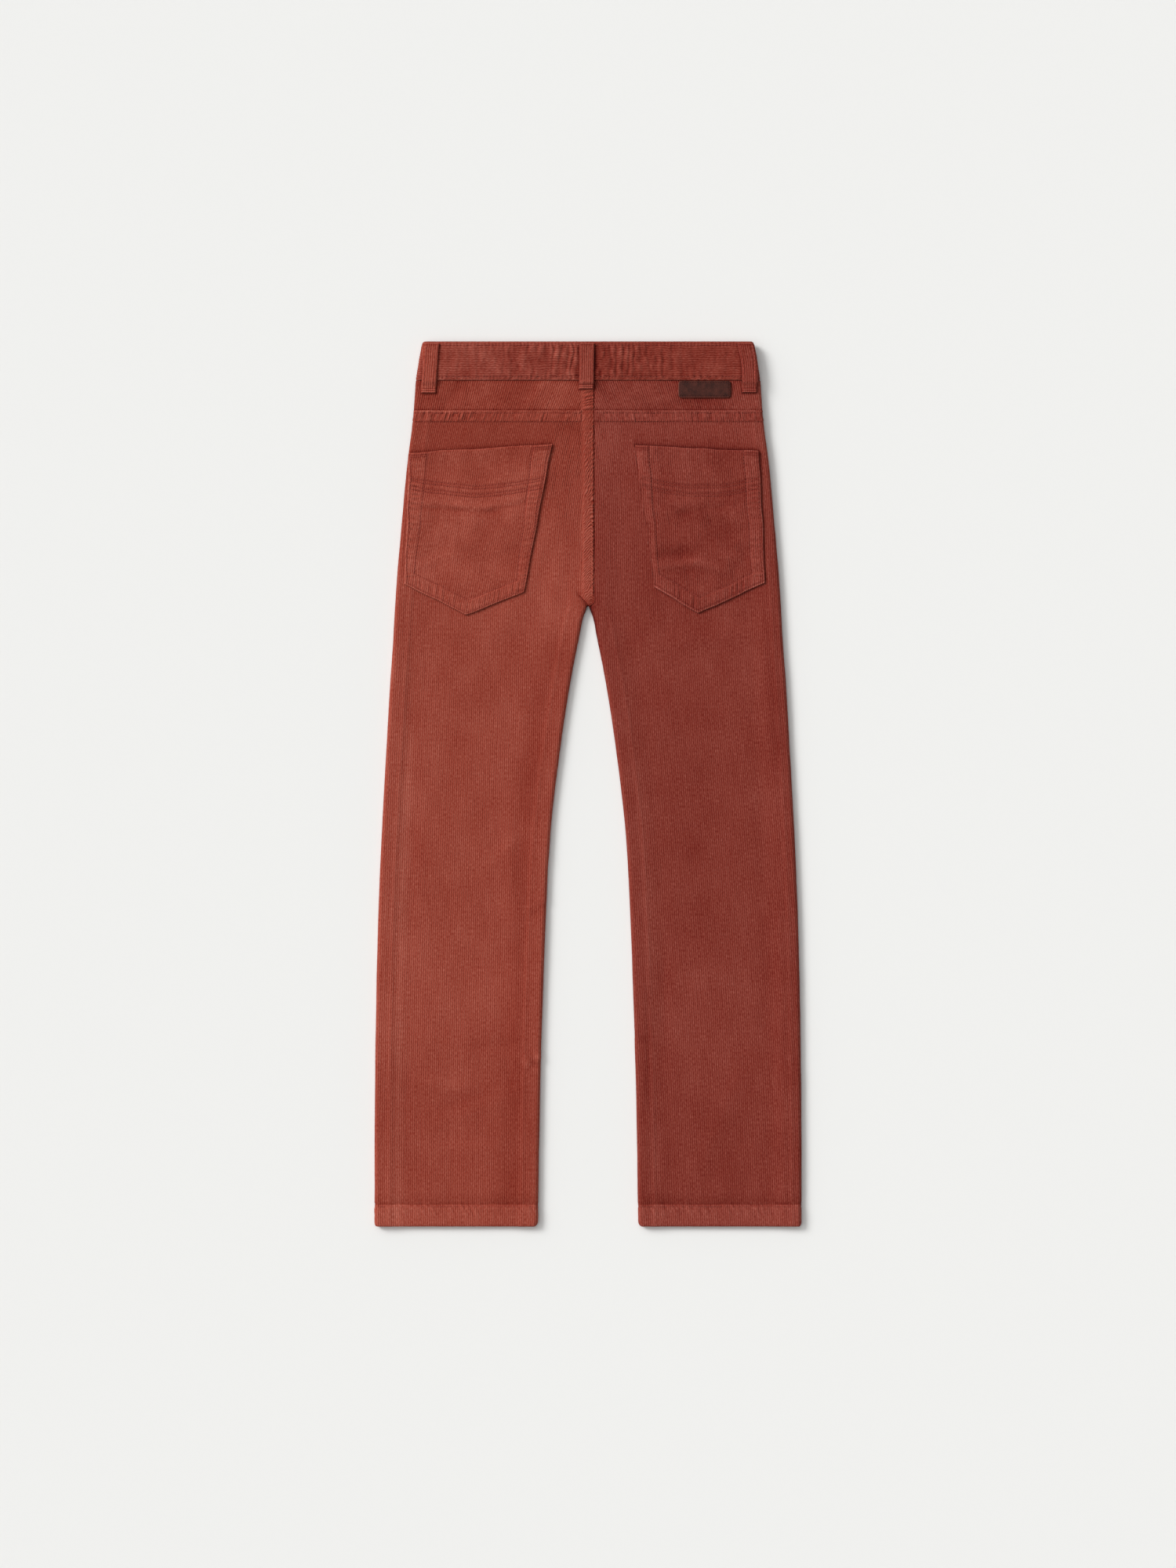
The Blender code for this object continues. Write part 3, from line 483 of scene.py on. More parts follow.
def front_dip(along, up):
    """How far the front's waist lies below the back's, most at the centre, none at the sides."""
    share = 1 - np.clip(np.abs(along) / outer_edge(up), 0, 1) ** 2
    return FRONT_DIP * share * ease(up, FRONT_DIP_FROM_UP, BAND_BOTTOM_UP)


# ---------------------------------------------------------------- ribs, puckers and grooves


def rib(phase):
    """Height of the pile across one rib, from 0 in its groove to 1 on top: a power of a sine."""
    return np.abs(np.sin(math.pi * phase)) ** RIB_FULLNESS


def pile(across, length, pressed=0, sunk=RIB_SUNK, bold=1):
    """How far the ribs stand out of the cloth's own face, lower where the cloth is pressed down
    under stitches and uneven along each rib. Sunk wholly, they stay within the face."""
    sizes = bpy.context.scene.trousers_sizes
    tall = 1 + RIB_UNEVEN * (unevenness(across, length, 2.3, 9, 3) - (sunk >= 1)) - pressed
    return bold * sizes.rib_height / MM * tall * (rib(across / rib_pitch()) - sunk)


def rib_pitch():
    """Distance from one rib to the next, in millimetres."""
    return bpy.context.scene.trousers_sizes.rib_pitch / MM


def wander(across, length, seed):
    """How far a rib strays sideways from its line."""
    return RIB_WANDER * unevenness(across, length, 9, 34, seed)


def rib_lines(low, high):
    """Places across the ribs for the lines of a grid, whole ribs from low to high."""
    pitch = rib_pitch()
    first, last = math.floor(low / pitch), math.ceil(high / pitch)
    return np.arange(first * RIB_LINES, last * RIB_LINES + 1) * (pitch / RIB_LINES)


def steps(*stretches):
    """Heights of rows: each stretch runs from its start to its end in even steps of about its size."""
    found = []
    for start, end, size in stretches:
        count = max(1, round((end - start) / size))
        found.append(np.linspace(start, end, count, endpoint=False))
    return np.concatenate((*found, (stretches[-1][1],)))


def groove(distance):
    """The channel that a row of stitches presses into the cloth."""
    return -STITCH_GROOVE * hill(distance, STITCH_GROOVE_WIDE)


def puckers(along, seed):
    """Waves drawn up by a row of stitches: a sine whose length and height change along it."""
    phase = along / PUCKER_PITCH + 0.7 * waver(along, 11, seed)
    tall = 0.55 + 0.45 * unevenness(along, 3, 7, 1, seed + 1)
    return PUCKER_RISE * tall * np.sin(math.tau * phase)


# ---------------------------------------------------------------- meshes


def grid_faces(index):
    """The faces of a grid of point numbers."""
    corners = (index[:-1, :-1], index[:-1, 1:], index[1:, 1:], index[1:, :-1])
    return np.stack(corners, axis=-1).reshape(-1, 4)


def shell(name, outside, inside, grain, tone, cord):
    """A closed shell between two sheets of points. They have the same rows, and the inner sheet has
    every few of the outer one's columns. Points that fall on one another at an edge are merged.
    Grain is the places across and along the ribs."""
    rows, fine = outside.shape[:2]
    plain = inside.shape[1]
    every = (fine - 1) // (plain - 1)
    outer = np.arange(rows * fine).reshape(rows, fine)
    inner = outer.size + np.arange(rows * plain).reshape(rows, plain)
    faces = np.concatenate((
        grid_faces(outer),
        grid_faces(inner)[:, ::-1],
        grid_faces(np.stack((inner[:, 0], outer[:, 0]), axis=1)),
        grid_faces(np.stack((outer[:, -1], inner[:, -1]), axis=1)),
    )).tolist()
    span = np.arange(plain - 1)[:, None] * every + np.arange(every + 1)
    for row, turn in ((0, -1), (-1, 1)):
        ends = np.stack((inner[row, 1:], inner[row, :-1]), axis=1)
        faces += np.concatenate((outer[row][span], ends), axis=1)[:, ::turn].tolist()
    points = np.concatenate((outside.reshape(-1, 3), inside.reshape(-1, 3)))
    grain = np.stack([np.broadcast_to(part, outer.shape) for part in grain], axis=-1)
    grains = np.concatenate((grain.reshape(-1, 2), grain[:, ::every].reshape(-1, 2)))
    tones = np.concatenate((np.broadcast_to(tone, outer.shape).ravel(), np.zeros(inner.size)))
    return finished(name, points, faces, grains, tones, cord)


def linked(name, data):
    """A new object with this mesh, light or camera, in the scene."""
    made = bpy.data.objects.new(name, data)
    bpy.context.scene.collection.objects.link(made)
    return made


def finished(name, points, faces, grain, tone, cord):
    """A piece with its Grain map, in metres across and along the ribs, and its tone attribute, which holds
    the cloth's own lightness and its painted light and shade. It rides on the garment's one body, and
    stands for the solid of its name where there is one."""
    mesh = bpy.data.meshes.new(f"{name}_dressed")
    middle = np.array((0, LENGTH / 2, 0))
    mesh.from_pydata(((points - middle) * MM).tolist(), [], faces)
    corners = np.empty(len(mesh.loops), dtype=np.int32)
    mesh.loops.foreach_get("vertex_index", corners)
    mesh.uv_layers.new(name="Grain").data.foreach_set("uv", (grain * MM)[corners].ravel())
    mesh.attributes.new("Tone", "FLOAT", "POINT").data.foreach_set("value", tone)
    cleaned = bmesh.new()
    cleaned.from_mesh(mesh)
    bmesh.ops.remove_doubles(cleaned, verts=cleaned.verts, dist=MERGED_WITHIN * MM)
    bmesh.ops.recalc_face_normals(cleaned, faces=cleaned.faces)
    cleaned.to_mesh(mesh)
    cleaned.free()
    mesh.shade_smooth()
    mesh.set_sharp_from_angle(angle=SHARP_ANGLE)
    mesh.materials.append(material(cord))
    piece = linked(mesh.name, mesh)
    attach(piece, "root")
    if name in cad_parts:
        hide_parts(name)
    return piece


def sewn_on(name, face, x, up, top, seat, grain, tone, cord, inset=0):
    """A piece that lies on a face: its outer sheet at the height of top, and on its seat the inner
    one, with a column for each rib."""
    outside = place(face, x, up, top, inset)
    parts = np.broadcast_arrays(x, up, seat, inset)
    inside = place(face, *(part[:, ::RIB_LINES] for part in parts))
    if name.startswith("waistband_front"):
        for sheet in (outside, inside):
            sheet[..., 1] -= front_dip(sheet[..., 0], np.full(sheet.shape[:2], BAND_BOTTOM_UP))
    return shell(name, outside, inside, grain, tone, cord)


# ---------------------------------------------------------------- legs and yokes


def ribbed_panel(name, face, side_name, ups, ribs, lifts, relief):
    """A leg or yoke. Its columns are the ribs' lines, x = line * spread + shift, which wander a
    little, and past the panel's limits they fall together on its edge."""
    up = ups[:, None]
    side = SIDES[side_name]
    shift, spread = (np.broadcast_to(r, up.shape) for r in ribs(up))
    first, last = panel_limits(face, side, up)
    reach = np.stack(((side * first - shift) / spread, (side * last - shift) / spread))
    lines = rib_lines(reach.min(), reach.max())[None, :]
    seed = WANDER_SEEDS[side_name]
    x = (lines + wander(lines, up, seed)) * spread + shift
    distance = np.clip(side * x, first, last)
    x = side * distance
    across = (x - shift) / spread
    across -= wander(across, up, seed)
    outer_lift, inner_lift = (np.reshape(lift, (-1, 1)) for lift in lifts)
    raised, tone = relief(x, up, across)
    outside = panel_place(face, side, distance, up, outer_lift + raised)
    plain = distance[:, ::RIB_LINES]
    # The inner sheet follows the outer one where the felled seam's ridge is a piece of its own.
    ridge = fell_height(plain * side, up) if face == "back" else 0
    inside = panel_place(face, side, plain, up, inner_lift - ridge)
    return shell(name, outside, inside, (across, up), tone, f"corduroy_{side_name}")


def folded_lifts(ups):
    """Lifts of a leg's outer and inner sheet, rounded at the folded hem."""
    thick = CLOTH + (HEM_CLOTH - CLOTH) * fall(ups, HEM_DEEP - HEM_RAMP, HEM_DEEP)
    near = np.interp(ups, HEM_FOLD_UPS, (1, 0.3, 0))
    return -HEM_FOLD * near, -thick + HEM_FOLD * near


def lumps(x, up, seed):
    """The slight unevenness of cloth that has been worn and laid down."""
    broad = 0.13 * unevenness(x, up, 17, 30, seed)
    return broad + 0.05 * unevenness(x, up, 6, 8, seed + 1)


def faded(x, up, seed):
    """Broad, faint differences in how light the cloth is."""
    broad = 0.45 * unevenness(x, up, 42, 95, seed)
    return broad + 0.2 * unevenness(x, up, 16, 30, seed + 1)


def hem_relief(x, up):
    """A hem: the groove above its turned-up edge, its stitched row, and slanting puckers."""
    row = hill(up - HEM_ROW_UP, 0.7)
    edge = hill(up - HEM_DEEP - 0.5 - 0.5 * waver(x, 9, 39), 0.9)
    edge *= 0.8 + 0.4 * waver(x, 5, 38)
    wave = puckers(x + 0.5 * up, 41) + 0.4 * unevenness(x + 0.5 * up, up, 2.4, 6, 42)
    wave *= hill(up - HEM_DEEP + 4.5, 7.5)
    above = hill(up - HEM_DEEP - 4, 3.6) * (1 + 0.5 * waver(x, 19, 37))
    # Painted shade in the stitched row, the groove at the folded edge and a band above the hem; pucker
    # crests painted lighter.
    tone = -0.4 * row - 1.8 * edge + 1.5 * wave - 0.8 * above
    return -0.3 * row - 0.4 * edge + 0.5 * wave, tone, 0.7 * row + 0.6 * edge


def lap_relief(x, up, slant):
    """The cloth below the yoke seam: a rolled edge with a painted highlight, two stitched rows with painted
    shade in them, and the puckers between them, which lean with the ribs, their crests painted lighter."""
    below = YOKE_SEAM_UP - up
    in_lap = ease(up, YOKE_SEAM_UP - YOKE_LAP_DEEP - 1.5, YOKE_SEAM_UP - YOKE_LAP_DEEP + 1.5)
    dotted = 0.6 + 0.4 * np.sin(math.tau * x / 2.7 + waver(x, 9, 58))
    first, last = (hill(below - at, 0.6) * dotted for at in LAP_ROWS)
    rows = first + last
    leaning = x - slant * up
    wave = 0.6 * puckers(1.4 * leaning, 51) + 0.6 * puckers(2.3 * leaning, 53)
    wave += 0.4 * unevenness(leaning, up, 2.2, 4, 55)
    wave *= in_lap * ease(below, 0.6, 2.6) * (0.8 + 0.5 * waver(x, 21, 57))
    roll = hill(below - 0.8, 0.7)
    raised = wave * 1.3 + 0.3 * roll - STITCH_GROOVE * rows
    roll_highlight = 0.5 + 1.5 * ease(np.abs(x), 70, 100) - 0.8 * ease(x, 70, 100)
    roll_highlight += 1.1 * waver(x, 3.4, 59)
    tone = (0.5 if slant > 0 else 0.2) * in_lap + roll_highlight * roll + 2.4 * wave
    tone -= 0.8 * in_lap * ease(x, 70, 100)
    return raised, tone - 1.2 * first - 2 * last, 0.6 * rows + 0.3 * in_lap


def pocket_shade(side_name, x, up):
    """How the leg dips and darkens above its pocket's mouth and beside its far edge: most at the
    edge, fading away from it."""
    low_a, low_b, inner, mouth, outer = pocket_distances(side_name, x, up)
    shaded = inner if side_name == "left" else outer
    across = ease(inner, -1.5, 1) * ease(outer, -1.5, 1)
    away = np.maximum(-mouth, 0)
    over = (0.8 * np.exp(-away / 1.3) + 0.2 * np.exp(-away / 7)) * across * (mouth < 0.6)
    down = ease(np.minimum(low_a, low_b), -1, 2) * ease(mouth, -1, 1)
    uneven = 1 + 0.5 * unevenness(x, up, 6, 6, 49)
    beside = np.exp(-np.maximum(-shaded, 0) / 1) * down * (shaded < 0.6) * uneven
    below = -np.minimum(low_a, low_b)
    under = np.exp(-np.maximum(below, 0) / 0.8) * (below > -0.6) * ease(inner, -2, 2)
    under *= ease(outer, -2, 2) * (0.8 if side_name == "left" else 1.1)
    strength = 1 if side_name == "left" else 1.4
    return -0.5 * over * strength - 0.35 * beside, -3.8 * over * strength - 2.7 * beside - under


def scallops(up):
    """Waves along the centre seam's right side, from -1 to 1, a little uneven in length."""
    return np.sin(math.tau * up / SCALLOP_PITCH + 2 * waver(up, 11, 66))


def seam_shade(x, up):
    """The deep uneven channel along the centre seam's right side, 1 at its darkest."""
    aside = x - seam_x(up) - 0.35 * waver(up, 3.7, 63)
    notched = 0.75 + 0.3 * scallops(up)
    notched += 0.25 * waver(up, 2.6, 65)
    return hill(aside, 0.9) * (x > seam_x(up) - 0.2) * notched * ease(up, 539, 543)


def seat_shade(x, up, to_inseam):
    """Darker places of the seat: a hollow below the yoke on either side of the centre seam, and
    the right leg's inner edge below the crotch."""
    hollows = 1.1 * hill(x + 13, 9) * hill(up - 686, 5)
    hollows += 1.6 * hill(x - 9, 2.6) * hill(up - 694, 5)
    inner = hill(np.maximum(to_inseam, 0), 1.8) * ease(up, 470, 526) * (x > 0) * (up < CROTCH_UP + 2)
    return -hollows - (4.4 + 4 * hill(up - 531, 4)) * inner


def leg_shade(side_name, up, to_inseam, to_side):
    """Painted light and shade along a back leg's inner and outer side: highlights over allowance ridges,
    soft shade towards the edges, and on the right leg a little darker near the hem.
    """
    if side_name == "left":
        inner = hill(to_inseam - 20, 13) * fall(up, 480, 530)
        outer = hill(to_side - 20, 4) * fall(up, 380, 450)
        return 1.3 * outer - (1.4 + 0.8 * hill(up - 382, 26)) * inner
    inner = hill(to_inseam - 16, 5) * fall(up, 350, 430)
    outer = hill(to_side - 11, 8) * hill(up - 440, 85)
    return 0.7 * inner - 1.5 * outer - 0.3 * fall(up, 40, 160)


def leg_relief(face, side_name):
    """The fine relief of a leg: ribs, the ridges over its seam allowances, its hem, and on the back
    the lap below the yoke, the channel beside the centre seam and the fine creases."""

    def relief(x, up, across):
        to_side, to_inseam = edge_distances(x, up)
        below = fall(up, *INSEAM_FADE_UP)
        allowance = hill(to_side - ALLOWANCE_FROM_SIDE[side_name], ALLOWANCE_SPREAD)
        allowance += hill(to_inseam - ALLOWANCE_FROM_INSEAM, ALLOWANCE_SPREAD) * below
        raised, tone, pressed = hem_relief(x, up)
        # The ridges over the allowances are painted lighter: a painted highlight.
        tone += np.interp(up, *LEG_TONES[side_name]) + 0.45 * allowance
        if face == "front":
            return np.minimum(raised, 0) + pile(across, up, pressed, 1), tone
        lap, lap_tone, lap_pressed = lap_relief(x, up, 0.3 if side_name == "left" else -0.2)
        dip, shade = pocket_shade(side_name, x, up)
        beside_seam = seam_shade(x, up)
        # crotch: painted shade at the crotch.
        crotch = hill(x - 1, 7) * hill(up - CROTCH_UP - 1, 7)
        raised += lap + dip + ALLOWANCE_RISE * allowance - 0.5 * beside_seam
        creased = crease_height(FINE_CREASES, x, up)
        raised += creased - fell_height(x, up) + lumps(x, up, 43)
        # Painted shade beside the pocket, in the centre seam's channel and at the crotch; crease ridges
        # painted lighter and their troughs darker.
        tone += lap_tone + shade - 4.2 * beside_seam - 2 * crotch
        tone += 1.8 * creased + faded(x, up, 46) + seat_shade(x, up, to_inseam)
        tone += leg_shade(side_name, up, to_inseam, to_side)
        bold = 1 + 0.5 * hill(x + 14, 20) * ease(up, 585, 640)
        bold += 0.2 * ease(up, 500, 600) * (x > SEAM_X)
        ribs = pile(across, up, np.minimum(pressed + lap_pressed, MOST_PRESSED), bold=bold)
        # Tall rib tops painted lighter: a painted highlight.
        return raised + ribs, tone + 3 * (bold - 1) * ribs

    return relief


def leg(face, side_name):
    """A back or front leg, from its turned-up hem to the yoke or the waistband."""
    ups = steps(*LEG_ROWS[face])

    def ribs(up):
        columns = LEG_RIBS[side_name]
        return smooth_value(columns, "shift", up), smooth_value(columns, "spread", up)

    piece = ribbed_panel(f"{face}_leg_{side_name}", face, side_name, ups, ribs, folded_lifts(ups),
                         leg_relief(face, side_name))


def yoke(side_name):
    """The shaped band of cloth between a back leg and the waistband, its ribs fanning out."""
    low, high = YOKE_SEAM_UP + BUTTED, BAND_BOTTOM_UP - BUTTED
    ups = steps((low, low + 3, 0.7), (low + 3, high, 1.3))
    slope, fan = YOKE_RIBS[side_name]
    left = side_name == "left"

    def ribs(up):
        return slope * (up - low), 1 + fan * (up - low)

    def relief(x, up, across):
        near_seam, near_band = hill(up - low, 1.5), hill(up - high, 2.2)
        beside_seam = seam_shade(x, up)
        creased = crease_height(FINE_CREASES, x, up)
        raised = creased - fell_height(x, up) + lumps(x, up, 45) - 0.5 * beside_seam
        raised = raised - 0.35 * near_seam + 0.5 * puckers(x, 61) * hill(up - low, 4)
        # Painted shade along the yoke seam's line.
        seam_line_shade = hill(up - low - 0.2, 0.8) * (1 + 0.45 * waver(x, 4, 67))
        seam_line_shade *= 1 - 0.5 * ease(x, 70, 100)
        shadow = 0.6 * np.exp((up - high) / 3) * (1 if left else ease(x, 60, 90))
        # Painted shade along the seam, under the waistband, beside the centre seam and the loops; two soft
        # patches darker.
        tone = (-1.15 if left else 0.4) - 2.3 * seam_line_shade - 0.5 * near_seam - 0.3 * near_band
        tone = tone - 3.2 * beside_seam - 1.6 * hill(x - 108, 26) + loop_shade(x, up) - shadow
        tone -= 0.5 * hill(x - 18, 14)
        ribs = pile(across, up, 0.4 * near_seam, bold=1.3 if left else 1.5)
        tone += 0.4 * unevenness(x, up, 10, 8, 69) + 0.35 * unevenness(x, up, 4.5, 4.5, 70)
        # Crease ridges and rib tops painted lighter: painted light.
        tone += 1.8 * creased + 1.7 * faded(1.4 * x, up, 68) + 1.8 * ribs
        return raised + ribs, tone

    lifts = (np.zeros(len(ups)), np.full(len(ups), -CLOTH))
    piece = ribbed_panel(f"back_yoke_{side_name}", "back", side_name, ups, ribs, lifts, relief)


def seam_grid():
    """The places of the centre seam's strip: its columns are shares of its width, and its rows lie
    along its slanting fold at the crotch and level out upwards. Also how far each is from its right
    side, from its left one, and from the fold."""
    share = np.concatenate(((0,), np.linspace(0.02, 0.96, 46), (0.985, 1)))[None, :]
    top = BAND_BOTTOM_UP - SEAM_GAP
    flat = steps((SEAM_LOW_UP, top, SEAM_ROW_STEP))[:, None]
    right = SEAM_X - SEAM_GAP / 2
    x = right - (smooth_value(FELL_RIBS, "wide", flat[:1]) + 1) * (1 - share)
    fold_x, fold_up = CROTCH_FOLD_FROM
    fold = fold_up + CROTCH_FOLD_SLOPE * (x - fold_x)
    fold = np.maximum(fold, CROTCH_UP - 1.6 + 0.9 * np.maximum(x - 1, 0))
    ups = fold + (top - fold) * (flat - flat[0]) / (top - flat[0])
    wide = smooth_value(FELL_RIBS, "wide", ups) + 1
    aside = wide * (1 - share)
    return right - aside, ups, aside, wide - aside, ups - fold


def seam_ribs(x, ups, from_fold, merged):
    """Where the strip's ribs lie, from the middle of one to the next, how much of their height they
    have, and where the ribs of the cloth on its left would run."""
    shift, bent = smooth_value(FELL_RIBS, "shift", ups), smooth_value(FELL_RIBS, "bent", ups)
    bend = FELL_BEND + 0.8 * waver(ups, 7, 77)
    across = (1 - bent) * x - 0.85 * bent * np.abs(x - bend) - shift
    across += 0.6 * unevenness(x, ups, 4, 6, 79) + 0.35 * unevenness(x, ups, 2, 3.2, 84)
    across += 0.9 * (0.5 + 0.5 * hill(ups - 620, 28)) * unevenness(x, ups, 3, 5, 81)
    slope, fan = YOKE_RIBS["left"]
    leg_ribs, above = LEG_RIBS["left"], ups - YOKE_SEAM_UP
    on_leg = (x - smooth_value(leg_ribs, "shift", ups)) / smooth_value(leg_ribs, "spread", ups)
    beside = np.where(above < 0, on_leg, (x - slope * above) / (1 + fan * above))
    calm = 1 - 0.7 * ease(ups, 687, 691) - 0.3 * fall(from_fold, 2, 9)
    calm *= (0.85 + 0.7 * unevenness(x, ups, 4, 7, 83)) * (1 - 0.8 * merged)
    calm *= 1 - 0.7 * ease(x, 2, 3.6) * fall(ups, 558, 572)
    return across, calm, beside


def centre_seam():
    """The felled allowance along the centre back seam, a strip that ends in a slanting fold at the
    crotch. Its section is a low ridge, soft on its left, where the leg's ribs run on, and steep on
    its scalloped right. It is pressed down along two stitched rows. Its own ribs climb to the
    right, and lower down they bend back along its right side."""
    x, ups, aside, from_left, from_fold = seam_grid()
    above = ups - YOKE_SEAM_UP
    edge = ease(from_left, 0, FELL_EDGE)
    merged = ease(x, -1, 4) * fall(from_fold, 1, 11)
    across, calm, beside = seam_ribs(x, ups, from_fold, merged)

    on_left, on_right = (x - row for row in FELL_ROWS)
    rows = hill(on_left, 0.8) + hill(on_right, 0.8)
    climbing = 1.3 * (ups - 0.6 * x)
    wave = puckers(climbing, 71) * hill(on_left, 3) + puckers(climbing, 73) * hill(on_right, 3)
    crossing = ease(ups, 699, 702) + 0.8 * hill(ups - 685.5, 4.5)
    wave = 0.8 * wave * (1 - 0.4 * crossing) + 2.3 * crossing * puckers(
        1.5 * (ups - 0.2 * x) + 1.2 * unevenness(x, ups, 5, 9, 74), 76)
    over_yoke_seam = hill(above, 0.7)
    steep = fall(aside, 0, 0.9) * (1 - merged)
    scallop = 0.5 * scallops(ups) + 0.35 * waver(ups, 2.4, 78)
    scallop *= fall(aside, 0, 2) * (1 - merged)
    spill = 0.7 * fall(aside, 0, 2) * fall(from_fold, 3, 8)

    lap, lap_tone, lap_pressed = lap_relief(x, ups, 0.3)
    own = pile(across, ups, np.minimum(0.3 * rows, MOST_PRESSED), bold=1.7) * calm
    ribs = own * edge + pile(beside, ups, lap_pressed * (above < 0)) * (1 - edge)
    raised = (FELL_TOP * edge - 0.4 * steep + 0.8 * wave * edge - 0.2 * rows) * (1 - 0.8 * merged)
    raised += ribs - 0.3 * over_yoke_seam + (1 - edge) * np.where(
        above < 0, lap + lumps(x, ups, 43), lumps(x, ups, 45))
    base = fell_height(x, ups)
    outside = place("back", x + scallop + spill, ups, np.maximum(raised, 0) + 0.03 - base)
    plain = slice(None, None, 2)
    inside = place("back", x[:, plain], ups[:, plain], 0.05 - base[:, plain])
    below_seam = np.interp(ups, *LEG_TONES["left"]) + lap_tone * (1 - edge)
    tone = np.where(above < 0, below_seam, -1) + faded(x, ups, 46)
    # Painted shade along the stitched rows and on the steep right side; pucker crests and rib tops painted
    # lighter.
    sewn = (0.3 + 1.3 * ease(ups, 684, 692)) * rows
    tone += (0.2 - sewn + 1.6 * wave + 2.4 * own) * edge - steep
    # A painted highlight along the ridge near its right side.
    tone += 0.6 * hill(aside - 2, 0.8) * (1 + waver(ups, 2.1, 80))
    # Painted shade over the yoke seam and near the fold; the merged corner takes the right cloth's painted
    # shade.
    tone -= 1.8 * over_yoke_seam + 0.8 * fall(from_fold, 2, 9) + 2.3 * merged
    # A painted shadow line below the fold.
    tone -= 5 * fall(from_fold, 0.5, 1.3 + 0.1 * (x + 7)) * (x < 1.8)
    grain = (np.where(edge < 0.5, beside, across), ups)
    piece = shell("centre_back_seam", outside, inside, grain, tone, "corduroy_left")


# ---------------------------------------------------------------- waistband


def gather_waves(random):
    """One side's gathers: where each starts, and how tall it is."""
    pitch = np.linspace(GATHER_PITCH_NEAR, GATHER_PITCH_FAR, GATHERS)
    pitch *= random.uniform(*GATHER_UNEVEN_PITCH, GATHERS)
    starts = np.concatenate(((0,), np.cumsum(pitch)))
    starts = GATHER_FROM + starts * (GATHER_TO - GATHER_FROM) / starts[-1]
    return starts, random.uniform(*GATHER_UNEVEN_HEIGHT, GATHERS + 1)


def gather_height(waves, distance):
    """How far the gathered cloth stands out at a distance from the centre loop's middle: broad
    crests with narrow valleys between them, lower and wider away from the loop. The valleys are a
    cosine to a power."""
    starts, tall = waves
    phase = np.interp(distance, starts, np.arange(GATHERS + 1))
    fade = GATHER_LEAST + (1 - GATHER_LEAST) * hill(distance, GATHER_SPREAD)
    valley = (0.5 + 0.5 * np.cos(math.tau * phase)) ** 2
    return GATHER_HEIGHT * fade * (1 - valley) * np.interp(phase, np.arange(GATHERS + 1), tall)


def loop_middle(loop, up):
    """A belt loop's middle line: from its lower to its upper end, bowed sideways by a parabola."""
    low, high, up_low, bow = loop
    share = np.clip((up - up_low) / (LOOP_TOP_UP - up_low), 0, 1)
    return low + (high - low) * share + 4 * bow * share * (1 - share)


def loop_shade(x, up):
    """How dark the cloth lies beside the belt loops: a deep line at each one's right, and a thin
    one at its left, fading away from it."""
    shade = np.zeros(np.broadcast(x, up).shape)
    for where, loop in BACK_LOOPS.items():
        up_low = loop[2]
        deep, firm, hollow = LOOP_SHADES[where]
        aside = x - loop_middle(loop, up)
        right, left = aside - LOOP_WIDE / 2, -aside - LOOP_WIDE / 2
        near = 3 * deep * np.exp(-np.maximum(right, 0) / (1.1 * deep)) * (right > -0.8)
        near += firm * np.exp(-np.maximum(left, 0) / 0.8) * (left > -0.8)
        near += hollow * hill(left - 2.2, 1.6) * hill(up - BAND_BOTTOM_UP - 5.5, 4.5)
        shade -= near * ease(up, up_low - 0.8, up_low + 0.5) * (up < LOOP_TOP_UP)
        under = hill(up - up_low + 0.5, 0.9) * (np.abs(aside) < LOOP_WIDE / 2 + 0.5)
        shade -= 2.6 * under
    return shade


def band_edges(up):
    """How much a waistband's face is rounded off near its lower edge and its folded top."""
    return rounding(up - BAND_BOTTOM_UP, 2.6, 0.9) + rounding(LENGTH - up, 2.4, 1.1)


def band_relief(along, up, across):
    """Ribs along the waistband, a stitched groove near each of its edges, and the puckers that
    they draw up: short notches above, a beaded roll below."""
    low, high = up - BAND_BOTTOM_UP - BAND_ROW_IN, LENGTH - BAND_ROW_IN - up
    rows = hill(low, 0.7) + hill(high, 0.8)
    beads = (puckers(along, 81) + 0.5 * puckers(1.8 * along, 82)) * hill(low + 1.2, 3.2)
    notches = np.sin(math.tau * along / 3 + 2 * waver(along, 13, 83))
    notches *= hill(high + 0.4, 2)
    raised = -0.6 * STITCH_GROOVE * rows + 0.9 * beads + 0.12 * notches
    beads += 0.25 * unevenness(along, up, 1.9, 2.2, 85) * hill(low + 0.6, 2.2)
    ribs = pile(across, along, np.minimum(0.5 * rows, MOST_PRESSED), bold=1.1)
    # roll: a painted highlight along the beaded roll near the lower edge.
    roll = hill(low + 1.9, 0.9) * (0.5 + waver(along, 3.1, 84))
    # Painted shade in the stitched grooves, along the lower edge and under the folded top; the beads,
    # notches, rib tops and roll painted lighter.
    tone = np.interp(along, *BAND_TONES) - 0.4 * rows + 2.6 * beads + notches + 0.8 * ribs
    tone += 1.3 * roll - 1.1 * hill(up - BAND_BOTTOM_UP, 0.6) - 0.8 * hill(LENGTH - up, 1.2)
    tone += loop_shade(along, up)
    return raised + ribs, tone


def band_across(up):
    """Distance across the waistband's ribs, of which a whole number lie between its edges."""
    return (up - BAND_BOTTOM_UP) / (LENGTH - BAND_BOTTOM_UP) * BAND_RIBS * rib_pitch()


def band_rows():
    """Heights across the waistband for the lines of its ribs, which run along it."""
    return np.linspace(BAND_BOTTOM_UP, LENGTH, BAND_RIBS * RIB_LINES + 1)[None, :]


def band_end(up):
    """Where the waistband ends at the side, measured along its cloth."""
    return outer_edge(up) + ROLL_SPARE - BAND_PROUD


